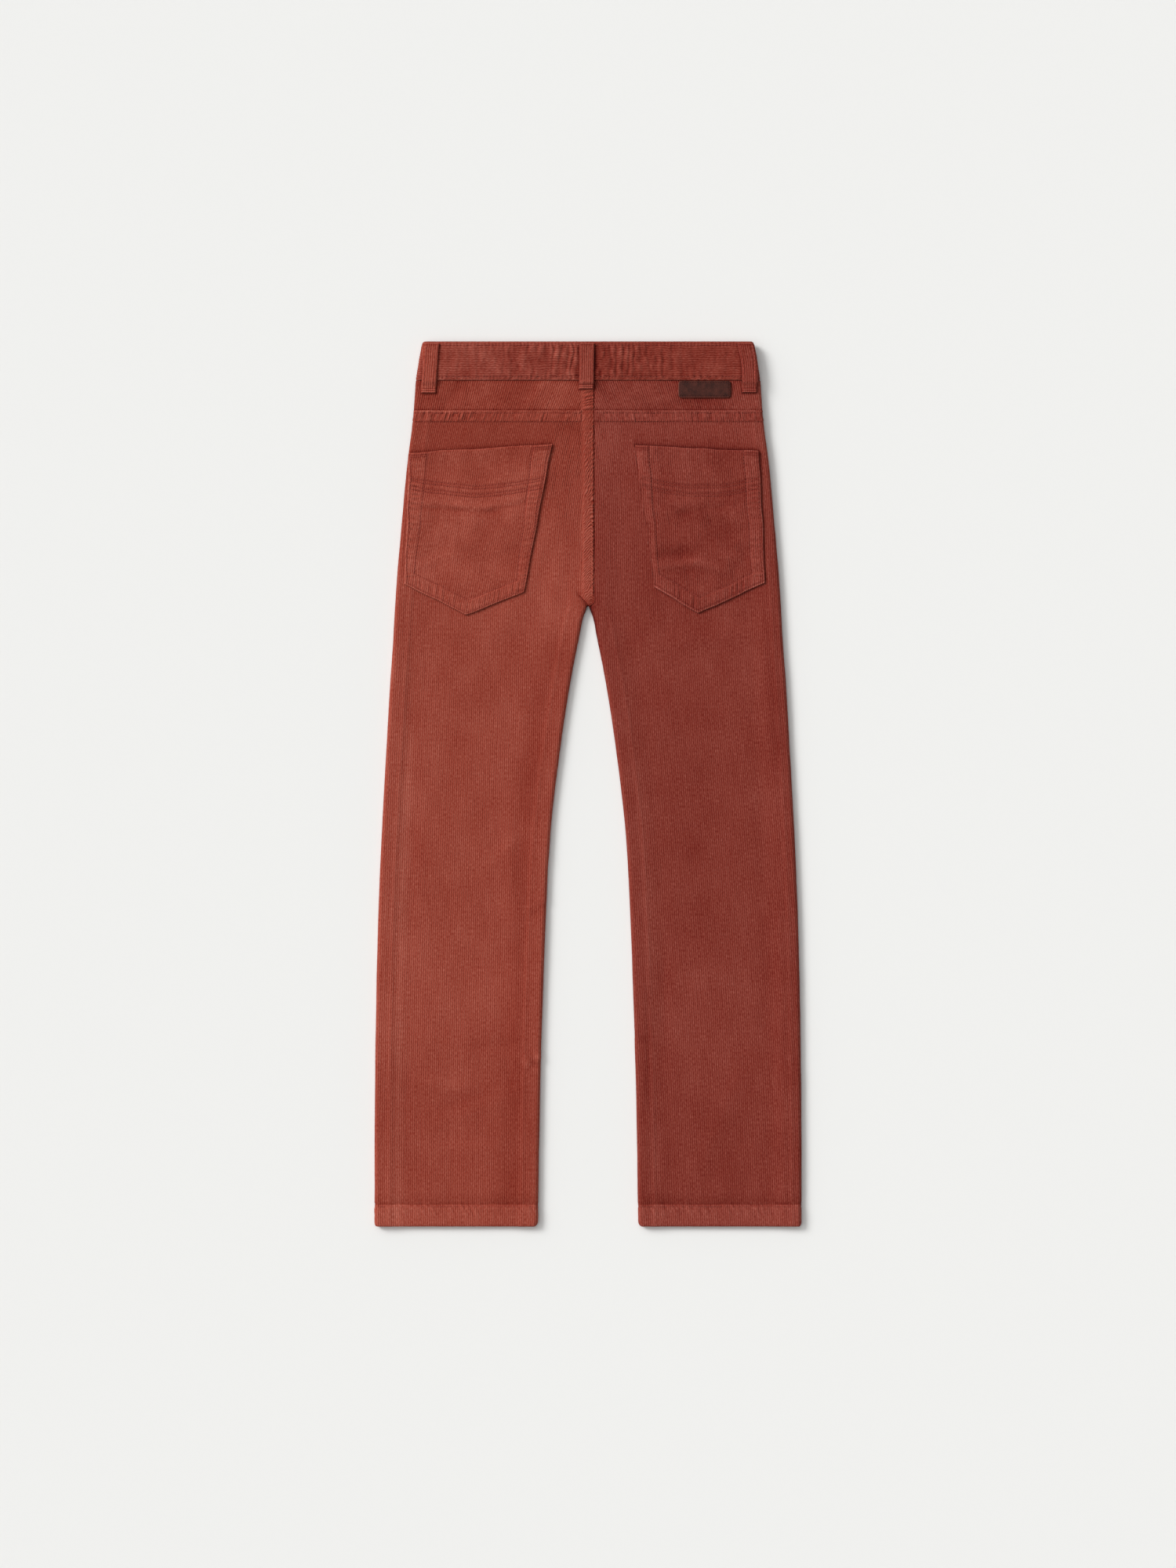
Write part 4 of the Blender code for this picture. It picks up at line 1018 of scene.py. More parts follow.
def waistband_back():
    """The back waistband, gathered by its elastic. The gathers lean, waver and fade in and out on
    their way up, and small puckers lie between them."""
    random = np.random.default_rng(GATHER_SEED)
    left_waves, right_waves = gather_waves(random), gather_waves(random)
    up = band_rows()
    along = np.linspace(-1, 1, BAND_COLUMNS)[:, None] * band_end(up)
    middle = ease(up, BAND_BOTTOM_UP + 1, BAND_BOTTOM_UP + 5) * fall(up, LENGTH - 5, LENGTH - 1)
    drift = 2.6 * unevenness(along, up, 13, 17, 91) + 1.4 * unevenness(along, up, 6, 8, 92)
    distance = np.abs(along + drift * middle)
    gathered = np.where(along < 0, gather_height(left_waves, distance),
                        gather_height(right_waves, distance))
    come_and_go = 0.62 + 0.5 * unevenness(along, up, 7, 9, 93)
    near = 0.25 + 0.75 * hill(along, GATHER_SPREAD)
    crumple = 0.36 * near * unevenness(along, up, 2.6, 5.2, 95) * middle
    crumple += 0.14 * unevenness(along, up, 8, 9, 97) * middle
    gathered *= (0.35 + 0.65 * middle) * come_and_go
    strayed = up + 0.85 * middle * near * unevenness(along, up, 5, 12, 94)
    strayed += 0.3 * middle * unevenness(along, up, 2.4, 5, 96)
    across = band_across(strayed)
    raised, tone = band_relief(along, up, across)
    # The gathers' crests and crumples painted lighter and their valleys darker: painted light and shade.
    tone += (2.8 * (gathered - 0.5) * near + 4.2 * crumple) * middle
    outer = BAND_PROUD + gathered + crumple - band_edges(up)
    inner = BAND_PROUD - BAND_CLOTH + band_edges(up) / 2 + 0 * along
    wavy = up + 0.9 * puckers(along, 81) * hill(up - BAND_BOTTOM_UP, 2.5)
    piece = sewn_on("waistband_back", "back", along, wavy, outer + raised, inner, (across, along),
                    tone, "corduroy_band", BAND_PROUD)


def waistband_front(side_name):
    """Half of the front waistband. Over the lap the left end takes the outer part of the
    thickness and the right end the inner part."""
    side = SIDES[side_name]
    thin_to, full_from = BAND_LAP + SEAM_GAP, BAND_LAP + 2 * SEAM_GAP
    up = band_rows()
    near = np.concatenate((np.linspace(-BAND_LAP, thin_to, 10), (full_from,)))[:, None]
    far = full_from + (band_end(up) - full_from) * np.linspace(0, 1, 64)[1:, None]
    along = side * np.concatenate((near + 0 * up, far))
    in_lap = side * along < thin_to + SEAM_GAP / 2
    middle = BAND_PROUD - BAND_CLOTH / 2
    outer, inner = BAND_PROUD + 0 * along, BAND_PROUD - BAND_CLOTH + 0 * along
    across = band_across(up) + 0 * along
    raised, tone = band_relief(along, up, across)
    if side_name == "left":
        inner[in_lap] = middle + SEAM_GAP / 2
    else:
        outer[in_lap] = middle - SEAM_GAP / 2
        raised *= ~in_lap
    edge = np.minimum(band_edges(up), SOFT_EDGE) / 2
    piece = sewn_on(f"waistband_front_{side_name}", "front", along, up,
                    outer - edge + np.minimum(raised, 0), inner + edge, (across, along), tone,
                    f"corduroy_{side_name}", BAND_PROUD)


# ---------------------------------------------------------------- pieces sewn on


def belt_loop(name, loop, up_high, tone, cord):
    """A strip from the top of the waistband down over its lower edge on to the cloth below. Its
    section is flat with rounded edges, pressed down along a stitched row near each edge, and two
    raised bars of dense stitches cross its lower end."""
    low, up_low, half = loop[0], loop[2], LOOP_WIDE / 2
    face = "back" if "back" in name else "front"
    lines = np.linspace(-half, half, LOOP_RIBS * RIB_LINES + 1)[None, :]
    band = BAND_BOTTOM_UP - (front_dip(low, BAND_BOTTOM_UP) if face == "front" else 0)
    ups = steps((up_low, up_low + 4.5, 0.3), (up_low + 4.5, up_high - 1.5, 1),
                (up_high - 1.5, up_high, 0.3))[:, None]
    share = (ups - up_low) / (up_high - up_low)
    sway = 0.5 * unevenness(ups, low, 13, 1, 96)
    along = loop_middle(loop, ups) + lines * (1 - 0.04 * hill(share - 0.5, 0.4)) + sway
    inset = BAND_PROUD * ease(ups, band - LOOP_CLIMB, band - 2 * SEAM_GAP)
    seat = SEAM_GAP + inset
    to_edge = half - np.abs(lines)
    from_low, from_top = ups - up_low, up_high - ups
    rounded = rounding(to_edge, 1, 0.8) + rounding(np.minimum(from_low, from_top), 0.8, 0.8)
    rows = hill(to_edge - LOOP_ROW_IN, 0.6) * (from_low > 4)
    bars = (hill(from_low - 1, 0.45) + hill(from_low - 2.7, 0.45)) * ease(to_edge, 0.3, 1)
    beside = hill(from_low - 1.85, 0.35) + hill(from_low - 3.7, 0.5) + hill(from_low, 0.35)
    across = lines / half * (LOOP_RIBS / 2) * rib_pitch() + 0 * ups
    ribs = pile(across, ups, np.minimum(0.5 * rows + 0.8 * (from_low < 4), MOST_PRESSED),
                RIB_SUNK if face == "back" else 1, 1.3)
    edged = ribs * ease(to_edge, 0.2, 1.2)
    raised = edged + 0.2 * bars - 0.35 * beside - 0.25 * rows
    raised += 0.15 * unevenness(along, ups, 7, 9, 98) - 0.15
    # Painted highlights on the bars, just inside the edges and on rib tops; painted shade between the bars,
    # at the very edge and below the folded top.
    shade = tone + 1.7 * bars - 2.4 * beside - 0.9 * fall(to_edge, 0, 0.7)
    shade += hill(to_edge - 0.9, 0.4) - 2.4 * hill(from_top - 1, 0.5) + 1.6 * edged
    top = seat + LOOP_CLOTH - rounded + (raised if face == "back" else np.minimum(raised, 0))
    piece = sewn_on(name, face, along, ups, np.maximum(top, seat + THINNEST), seat, (across, ups),
                    shade, cord, inset)


def pocket_edges(side_name):
    """The pocket's five sides as lines: for each a point on it and its unit normal inwards."""
    points = np.stack(list(POCKET_CORNERS[side_name].values()), axis=1)
    run = np.roll(points, -1, axis=0) - points
    normal = np.stack((-run[:, 1], run[:, 0]), axis=1) / np.hypot(run[:, 0], run[:, 1])[:, None]
    inwards = np.sign(((points.mean(axis=0) - points) * normal).sum(axis=1))
    return points, normal * inwards[:, None]


def pocket_distances(side_name, along, up):
    """Distance inwards from each of the pocket's sides: two below, inner, mouth and outer."""
    sides = zip(*pocket_edges(side_name))
    return [(along - point[0]) * normal[0] + (up - point[1]) * normal[1] for point, normal in sides]


def pocket_borders(side_name, up):
    """Widths of the turned-under border at the pocket's inner and outer side, less downwards."""
    ups = POCKET_CORNERS[side_name]["up"]
    share = np.clip((up - ups[OUTER_BOTTOM]) / (ups[INNER_TOP] - ups[OUTER_BOTTOM]), 0, 1)
    return [low + (top - low) * share for top, low in POCKET_BORDERS[side_name]]


# Soft forms pressed into each pocket by what lies under it.
POCKET_CREASES = {
    "left": table("x_low up_low x_high up_high rise spread", (
        (-140, 622, -110, 620, 0.2, 3), (-110, 619.5, -84, 619, 0.28, 3.4),
        (-84, 619, -52, 627, 0.2, 3.4), (-140, 617, -112, 615, -0.35, 2.2),
        (-112, 615, -84, 614, -0.35, 2.2), (-84, 614, -58, 620, -0.25, 2.6),
        (-113, 646, -109, 655, 0.45, 9), (-146, 568, -128, 574, 0.3, 4),
    )),
    "right": table("x_low up_low x_high up_high rise spread", (
        (76, 620, 94, 626, 0.4, 7), (60, 622, 82, 613, -0.35, 3), (82, 613, 112, 618, -0.3, 3),
        (64, 566, 91, 571, 0.5, 3.2), (91, 571, 110, 566, 0.45, 3.2), (66, 577, 76, 578, -0.7, 4.5),
        (80, 563, 100, 562, -0.3, 4), (128, 566, 138, 580, -0.3, 5), (104, 608, 128, 600, -0.25, 6),
    )),
}
# Two double rows of plain sewing across each pocket, shallow arcs.
ARC_UPS = (643.5, 641, 636.5, 634)
ARC_SAG = 7


def arc_rows(side_name):
    """The rows of sewing across a pocket: each a shallow parabola from border to border."""
    corners = POCKET_CORNERS[side_name]
    along, up = corners["along"], corners["up"]
    share = np.linspace(0, 1, 60)
    rows = []
    for level in ARC_UPS:
        part = (level - up[OUTER_BOTTOM]) / (up[INNER_TOP] - up[OUTER_BOTTOM])
        outer = along[OUTER_BOTTOM] + (along[OUTER_TOP] - along[OUTER_BOTTOM]) * part
        inner = along[INNER_BOTTOM] + (along[INNER_TOP] - along[INNER_BOTTOM]) * part
        inset = math.copysign(2.5, inner - outer)
        across = outer + inset + (inner - outer - 2 * inset) * share
        rows.append(np.stack((across, level - ARC_SAG * (1 - (2 * share - 1) ** 2)), axis=1))
    return rows


def pocket_lift(side_name, along, up):
    """Height of a pocket's upper face above its underside: its cloth, the border turned under
    along its edges, its softly rounded rim, and the forms pressed into it."""
    low_a, low_b, inner, mouth, outer = pocket_distances(side_name, along, up)
    below = np.minimum(low_a, low_b)
    inner_wide, outer_wide = pocket_borders(side_name, up)
    firm_out = 0.45 if side_name == "left" else 1
    firm_in = 1 if side_name == "left" else 0.5
    flat = np.maximum.reduce((
        fall(below, POCKET_BORDER_BELOW - POCKET_BORDER_RAMP, POCKET_BORDER_BELOW),
        fall(inner, inner_wide - POCKET_BORDER_RAMP, inner_wide),
        firm_out * fall(outer, outer_wide - POCKET_BORDER_RAMP, outer_wide),
    ))
    rim = np.minimum.reduce((below, inner, outer))
    crisp = np.minimum(below, outer) if side_name == "right" else rim
    rounded = rounding(np.minimum(crisp, mouth), 0.9, 0.8)
    if side_name == "right":
        rounded += 1.1 * fall(inner, 0, 9) ** 2
    aside_in, aside_out = inner - inner_wide, outer - outer_wide
    rows = 0.8 * hill(crisp - POCKET_ROW_IN, 0.7)
    rows += 0.7 * hill(below - POCKET_BORDER_BELOW, 0.7) * (aside_in > -1) * (aside_out > -1)
    firm = (0.4 + 0.6 * ease(up, 612, 632)) * (below > POCKET_BORDER_BELOW - 1)
    rows += (hill(aside_in, 0.7) + firm_out * hill(aside_out, 0.7)) * firm
    rows = np.minimum(rows, 1)
    arcs = np.zeros(rows.shape)
    for row in arc_rows(side_name):
        order = np.argsort(row[:, 0])
        arcs += hill(up - np.interp(along, row[order, 0], row[order, 1]), 0.7)
    arcs = np.minimum(arcs, 1) * (inner > 2) * (outer > 2)
    wave = (puckers(up, 101) + 0.5 * puckers(1.9 * up, 102)) * np.maximum(
        firm_in * hill(inner - inner_wide / 2, 5), hill(outer - outer_wide / 2, 5))
    wave += (puckers(along, 103) + 0.5 * puckers(1.9 * along, 104)) * hill(
        below - POCKET_BORDER_BELOW / 2, 5)
    worn = 0.25 * unevenness(along, up, 13, 17, 105) + 0.1 * unevenness(along, up, 5, 6, 106)
    creased = crease_height(POCKET_CREASES[side_name], along, up)
    lift = (
        POCKET_CLOTH + POCKET_BORDER_RISE * flat - rounded
        - STITCH_GROOVE * rows - 0.3 * arcs + 0.9 * wave + worn * ease(rim, 0, 4)
        + creased
    )
    lift = np.maximum(lift, 0.35)
    in_border = fall(np.minimum(aside_in, aside_out), -0.5, 0.5)
    bars = (hill(mouth - 2, 0.8) + 0.8 * hill(mouth - 4.2, 0.8)) * in_border
    sewn, lighter = (1.9, 0.2) if side_name == "left" else (2.1, 0.6)
    # Painted shade along the stitched rows and arcs and in two dark lines at the mouth's ends; pucker crests
    # painted lighter.
    tone = 0.3 * flat - 0.7 * sewn * rows - sewn * arcs * (1 - 0.5 * flat) + 2 * wave
    tone = tone - 2.4 * bars + lighter * fall(aside_out, -0.5, 0.5)
    # A painted highlight along the rim.
    tone += 1.4 * hill(crisp - 0.7, 0.5) + 0.25 * unevenness(along, up, 8, 8, 110)
    if side_name == "right":
        # On the right pocket, a painted highlight on its lower rim with a line of painted shade inside it.
        tone += 1.6 * hill(below - 0.9, 0.6) - 1.4 * hill(below - 2.2, 0.5)
    # Raised lumps and crease ridges painted lighter, troughs darker.
    tone += 2.2 * worn + 1.8 * creased + faded(along, up, 109)
    if side_name == "left":
        tone -= 0.8 * hill(mouth, 14)
    else:
        tone += 0.5 * hill(along - 56, 12)
        tone -= 0.5 * hill(along - 118, 28) * hill(up - 598, 32)
    tone -= 0.35
    return lift, tone, np.minimum(0.5 * rows + 0.5 * arcs, 0.8)


def pocket_seat(side_name, along, up):
    """Height of a pocket's underside above the leg: it stands off at its mouth."""
    mouth = pocket_distances(side_name, along, up)[3]
    return SEAM_GAP + POCKET_SLACK + POCKET_MOUTH_RISE * fall(mouth, 0, POCKET_MOUTH_DEEP)


def pocket_stray(at, seed):
    """How far a pocket's cloth strays from its pattern, so that its edges aren't quite straight."""
    return 0.5 * waver(at, 14, seed) + 0.15 * unevenness(at, 5, 5, 1, seed)


def pocket(side_name):
    """A five-cornered patch pocket. Each rib's line is cut to the stretch inside the outline, and
    its rows are shares of that stretch."""
    corners = POCKET_CORNERS[side_name]
    slope, bold = POCKET_RIBS[side_name], POCKET_BOLD[side_name]
    base = corners["up"][TIP]
    starts = (corners["along"] - slope * (corners["up"] - base)) / rib_pitch() * RIB_LINES
    low_line = math.ceil(starts.min() + 0.05)
    count = math.floor(starts.max() - 0.05) - low_line
    lines = (low_line + np.arange(count - count % RIB_LINES + 1)) * rib_pitch() / RIB_LINES
    low, high = np.full(lines.shape, base - 1), np.full(lines.shape, corners["up"].max() + 1)
    for point, normal in zip(*pocket_edges(side_name)):
        # Along a line the distance from this side is start + gain * (up - base).
        start = (lines - point[0]) * normal[0] + (base - point[1]) * normal[1]
        gain = slope * normal[0] + normal[1]
        if gain > 0:
            low = np.maximum(low, base - start / gain)
        else:
            high = np.minimum(high, base - start / gain)
    up = low + (high - low) * steps(*POCKET_ROWS)[:, None]
    along = lines + slope * (up - base)
    lift, tone, pressed = pocket_lift(side_name, along, up)
    seat = pocket_seat(side_name, along, up)
    across = np.broadcast_to(lines, up.shape)
    ribs = pile(across, up, pressed, bold=bold)
    x, strayed = along + pocket_stray(up, 107), up + pocket_stray(along, 108)
    # Bolder rib tops painted lighter: a painted highlight.
    piece = sewn_on(f"back_pocket_{side_name}", "back", x, strayed,
                    seat + np.maximum(lift + ribs, THINNEST), seat, (across, up),
                    tone + 3 * (bold - 1) * ribs, f"corduroy_{side_name}")


def round_corners(across, along, wide, deep, radius, corners):
    """Moves the points of a rectangle so that the named corners become arcs: a point in a corner's
    square keeps its larger distance from the arc's centre, and takes it as its true distance."""
    for right, top in corners:
        centre_a = wide - radius if right else radius
        centre_b = deep - radius if top else radius
        da, db = across - centre_a, along - centre_b
        here = ((da > 0) == right) & ((db > 0) == top) & (da != 0) & (db != 0)
        scale = np.maximum(np.abs(da), np.abs(db)) / np.maximum(np.hypot(da, db), 1e-9)
        across = np.where(here, centre_a + da * scale, across)
        along = np.where(here, centre_b + db * scale, along)
    return across, along


EVERY_CORNER = ((False, False), (True, False), (True, True), (False, True))


def leather_patch():
    """A plain leather patch with rounded corners and a burnished, turned-down rim."""
    wide, deep = PATCH_RIGHT - PATCH_LEFT, PATCH_DEEP
    across, upward = np.meshgrid(np.linspace(0, wide, 121), np.linspace(0, deep, 41))
    to_edge = np.minimum.reduce((across, wide - across, upward, deep - upward))
    across, upward = round_corners(across, upward, wide, deep, PATCH_CORNER, EVERY_CORNER)
    row = hill(to_edge - PATCH_ROW_IN, 0.5)
    swell = 0.06 * unevenness(across, upward, 6, 5, 97)
    top = SEAM_GAP + PATCH_CLOTH - rounding(to_edge, 0.9, 0.55) - 0.22 * row + swell
    x, up = PATCH_LEFT + across, BAND_BOTTOM_UP - SEAM_GAP - deep + upward
    worn = fall(np.minimum(across, upward), 0.3, 1.2)
    # The stitched row's groove painted a little darker: painted shade.
    tone = 0.6 * fall(to_edge, 0.1, 0.7) + 3.6 * worn - 0.5 * row
    piece = sewn_on("leather_patch", "back", x, up, top, SEAM_GAP, (across, upward), tone,
                    "patch_leather")


def fly_flap():
    """The flap over the fly on the front, one of its corners rounded."""
    wide, deep = FLY_RIGHT - FLY_LEFT, BAND_BOTTOM_UP - FRONT_DIP - SEAM_GAP - FLY_LOW_UP
    ribs = math.floor(wide / rib_pitch())
    straight, upward = np.meshgrid(np.linspace(0, wide, ribs * RIB_LINES + 1), np.linspace(0, deep, 61))
    to_edge = np.minimum.reduce((straight, wide - straight, upward))
    across, upward = round_corners(straight, upward, wide, deep, FLY_CORNER, ((False, False),))
    lines = straight * rib_pitch() * ribs / wide
    row = hill(to_edge - FLY_ROWS_IN[0], 0.8)
    lift = FLY_CLOTH - rounding(to_edge, 0.9, 0.6) - 0.25 * row + pile(lines, upward, 0.5 * row)
    x, up = FLY_LEFT + across, FLY_LOW_UP + upward
    # Its stitched row's groove painted darker: painted shade.
    piece = sewn_on("fly_flap", "front", x, up, SEAM_GAP + np.maximum(lift, THINNEST), SEAM_GAP,
                    (lines, upward), 0.2 - 0.4 * row, "corduroy_left")


# ---------------------------------------------------------------- stitches

# Sections of one stitch: where along it, how far above its bed, how thick and how light. Its ends are
# painted dark, painted shade where they dive into the cloth, and its middle a little lighter, a painted
# highlight.
STITCH_SECTIONS = table("at rise thick tone", (
    (0.03, -0.1, 0.8, -2.2), (0.18, 0.03, 0.9, -0.2), (0.5, 0.16, 1, 0.4), (0.82, 0.03, 0.9, -0.2),
    (0.97, -0.1, 0.8, -2.2),
))
STITCH_SIDES = 5


def even_points(path, gap):
    """Places along a path that lie a stitch's length apart, and the directions there."""
    run = np.concatenate(((0,), np.cumsum(np.hypot(*np.diff(path, axis=0).T))))
    count = max(1, round(run[-1] / gap))
    at = (np.arange(count)[:, None] + STITCH_SECTIONS["at"][None, :]) * (run[-1] / count)
    near = 0.05
    here, ahead, behind = (
        np.stack([np.interp(at + off, run, path[:, k]) for k in (0, 1)], axis=-1)
        for off in (0, near, -near)
    )
    way = ahead - behind
    return here, way / np.maximum(np.linalg.norm(way, axis=-1, keepdims=True), 1e-9)


def stitched_row(face, path, lift, inset=0, gap=None, thick=None, stray=None, dim=0):
    """The points and faces of one row: every stitch is a little bent tube that dives into the cloth
    at both ends. Lift is the height of its bed, one number or one for each of the path's places."""
    sizes = bpy.context.scene.trousers_sizes
    gap = gap or sizes.stitch_length / MM
    radius = (thick or sizes.thread_thick / MM) / 2
    here, way = even_points(path, gap)
    turn = np.arange(STITCH_SIDES) * (math.tau / STITCH_SIDES)
    at, rise, thickness, tone = (part[None, :, None] for part in STITCH_SECTIONS.values())
    aside = radius * thickness * np.cos(turn)
    above = radius * thickness * np.sin(turn) + rise
    along = here[..., 0, None] - way[..., 1, None] * aside
    up = here[..., 1, None] + way[..., 0, None] * aside
    bed = lift(here[..., 0], here[..., 1])[..., None] if callable(lift) else lift
    if stray:
        along, up = along + stray(up, 107), up + stray(along, 108)
    points = place(face, along, up, bed + above - 0.3 * (face == "front"), inset)
    if face == "front":
        points[..., 1] -= front_dip(points[..., 0], np.minimum(points[..., 1], BAND_BOTTOM_UP))
    index = np.arange(along.size).reshape(along.shape)
    around = np.roll(index, -1, axis=2)
    tube = np.stack((index[:, :-1], around[:, :-1], around[:, 1:], index[:, 1:]), axis=-1)
    caps = np.concatenate((index[:, 0, ::-1], index[:, -1]))
    grain = np.stack(np.broadcast_arrays(at * gap, turn, index)[:2], axis=-1)
    # dim makes a whole row lighter or darker; on the right half it adds the right cloth's painted shade.
    tone = np.broadcast_to(tone + dim, index.shape)
    return points.reshape(-1, 3), [tube.reshape(-1, 4), caps], grain.reshape(-1, 2), tone.ravel()


def stitching(name, rows):
    """All the stitched rows of one part of the garment as one mesh."""
    faces, first = [], 0
    for points, groups, _, _ in rows:
        faces += [face for group in groups for face in (group + first).tolist()]
        first += len(points)
    points, _, grains, tones = zip(*rows)
    finished(f"stitching_{name}", np.concatenate(points), faces, np.concatenate(grains),
             np.concatenate(tones), "sewing_thread")


def line(x0, up0, x1, up1):
    """A straight path in enough points to follow the cloth."""
    return np.linspace((x0, up0), (x1, up1), 80)


def level(up, low, high):
    """A path across a panel at one height."""
    return line(low, up, high, up)


def leg_bed(x, up):
    """The bed of a row on the back of a leg or yoke, beside the centre seam's own ridge."""
    return -STITCH_GROOVE - fell_height(x, up)


def upright(x, low, high, count):
    """A path upwards at a distance from the centre line."""
    return np.linspace((x, low), (x, high), count)


def corner_arc(x, up, bend, start, count):
    """A path round a quarter of a circle, from an angle of start."""
    turn = start + np.linspace(0, math.pi / 2, count)
    return np.stack((x + bend * np.cos(turn), up + bend * np.sin(turn)), axis=1)


def seam_stitches():
    """Two rows below the yoke seam and two along the centre seam."""
    rows = []
    for below in LAP_ROWS:
        up = YOKE_SEAM_UP - below
        side_end = float(outer_edge(up)) - 1
        left, right = level(up, -side_end, SEAM_X - FELL_WIDE - 1.5), level(up, SEAM_X + 0.8, side_end)
        rows.append(stitched_row("back", left, leg_bed, dim=-0.2))
        rows.append(stitched_row("back", right, leg_bed, dim=-0.6))

    def bed(along, up):
        return FELL_TOP - STITCH_GROOVE - 0.2 - 0.5 * (along < 0) - fell_height(along, up)

    for x in FELL_ROWS:
        path = upright(x, 546, BAND_BOTTOM_UP - 1, 120)
        rows.append(stitched_row("back", path, bed, thick=0.36, dim=-0.4))
    stitching("seams", rows)


def hem_stitches():
    """One row round each hem."""
    rows = []
    for side in SIDES.values():
        for face in ("back", "front"):
            start = float(inner_edge(face, side, HEM_ROW_UP)) + 1
            path = level(HEM_ROW_UP, side * start, side * (float(outer_edge(HEM_ROW_UP)) - 1))
            rows.append(stitched_row(face, path, -STITCH_GROOVE, dim=-0.5 * (side > 0)))
    stitching("hems", rows)


def band_stitches():
    """A row near each edge of the waistband, back and front."""
    rows = []
    bed = BAND_PROUD - STITCH_GROOVE
    for up in (BAND_BOTTOM_UP + BAND_ROW_IN, LENGTH - BAND_ROW_IN):
        end = float(outer_edge(up)) - 2
        rows.append(stitched_row("back", level(up, -end, end), bed + 0.2, BAND_PROUD, dim=-0.6))
        for low, high in ((-end, BAND_LAP - 1), (BAND_LAP + 2, end)):
            rows.append(stitched_row("front", level(up, low, high), bed, BAND_PROUD))
    stitching("waistband", rows)


def pocket_stitches(side_name):
    """Rows inside the pocket's edges and along its border, short bars at its mouth's corners, and
    the double arcs across it."""
    points, normals = pocket_edges(side_name)

    def inset_corner(k, before, after):
        """Where the lines a distance inside the two sides that meet at corner k cross."""
        n = np.stack((normals[k - 1], normals[k]))
        reach = (points[k] * n).sum(axis=1) + (before, after)
        return np.linalg.solve(n, reach)

    def bed(along, up):
        return pocket_lift(side_name, along, up)[0] + pocket_seat(side_name, along, up)

    def along_path(*stops):
        return np.concatenate([np.linspace(a, b, 50) for a, b in zip(stops, stops[1:])])

    row, below = POCKET_ROW_IN, POCKET_BORDER_BELOW
    (inner_wide, inner_narrow), (outer_wide, outer_narrow) = POCKET_BORDERS[side_name]
    rim = [inset_corner(*corner) for corner in (
        (OUTER_TOP, 1, row), (OUTER_BOTTOM, row, row), (TIP, row, row),
        (INNER_BOTTOM, row, row), (INNER_TOP, row, 1))]
    border = [inset_corner(*corner) for corner in (
        (OUTER_TOP, 1, outer_wide), (OUTER_BOTTOM, outer_narrow, below), (TIP, below, below),
        (INNER_BOTTOM, below, inner_narrow), (INNER_TOP, inner_wide, 1))]
    left = side_name == "left"
    sewn = rim if left else rim[:-1]
    rows = [
        stitched_row("back", path, bed, stray=pocket_stray, dim=0 if left else -0.5)
        for path in (along_path(*sewn), along_path(*border), *arc_rows(side_name))
    ]
    for end in (0, -1):
        for down in (0.6, 2.4):
            path = along_path(rim[end] - (0, down), border[end] - (0, down))
            rows.append(stitched_row("back", path, bed, gap=1.2, thick=0.5, stray=pocket_stray))
    stitching(f"pocket_{side_name}", rows)


def loop_stitches():
    """Two rows up each belt loop."""
    rows = []
    loops = [("back", loop) for loop in BACK_LOOPS.values()]
    for side in SIDES.values():
        along = side * FRONT_LOOP_ALONG
        loops.append(("front", (along, along, BAND_BOTTOM_UP - FRONT_LOOP_LOW, 0)))
    for face, loop in loops:
        ups = np.linspace(loop[2] + 5.5, LOOP_TOP_UP - 1.5, 60)
        for aside in (-LOOP_WIDE / 2 + LOOP_ROW_IN, LOOP_WIDE / 2 - LOOP_ROW_IN):
            path = np.stack((loop_middle(loop, ups) + aside, ups), axis=1)
            rows.append(stitched_row(face, path, loop_bed, inset=BAND_PROUD, thick=0.4, dim=0.5))
    stitching("loops", rows)


def loop_bed(along, up):
    """The bed of a row on a belt loop, which climbs on to the waistband."""
    on_band = ease(up, BAND_BOTTOM_UP - LOOP_CLIMB, BAND_BOTTOM_UP - 2 * SEAM_GAP)
    return SEAM_GAP + BAND_PROUD * on_band + LOOP_CLOTH - 0.25 + 0 * along


def patch_stitches():
    """One row round the patch."""
    row, bend = PATCH_ROW_IN, PATCH_CORNER - PATCH_ROW_IN
    left, right, top = PATCH_LEFT + row, PATCH_RIGHT - row, BAND_BOTTOM_UP - SEAM_GAP - row
    low = BAND_BOTTOM_UP - SEAM_GAP - PATCH_DEEP + row + bend
    path = np.concatenate((
        ((left, top), (left, low)),
        corner_arc(left + bend, low, bend, math.pi, 6),
        corner_arc(right - bend, low, bend, -math.pi / 2, 6),
        ((right, top), (left, top)),
    ))
    bed = SEAM_GAP + PATCH_CLOTH - 0.2
    stitching("patch", [stitched_row("back", path, bed, gap=2.2, thick=0.42, dim=-1.9)])


def fly_stitches():
    """Two rows that follow the flap's rounded corner."""
    rows = []
    for inset in FLY_ROWS_IN:
        left, bottom, bend = FLY_LEFT + inset, FLY_LOW_UP + inset, FLY_CORNER - inset
        path = np.concatenate((
            line(left, BAND_BOTTOM_UP - FRONT_DIP - 1, left, bottom + bend),
            corner_arc(left + bend, bottom + bend, bend, math.pi, 14)[1:],
            line(left + bend, bottom, FLY_RIGHT - 1, bottom)[1:],
        ))
        rows.append(stitched_row("front", path, SEAM_GAP + FLY_CLOTH - 0.25))
    stitching("fly", rows)


# ---------------------------------------------------------------- materials


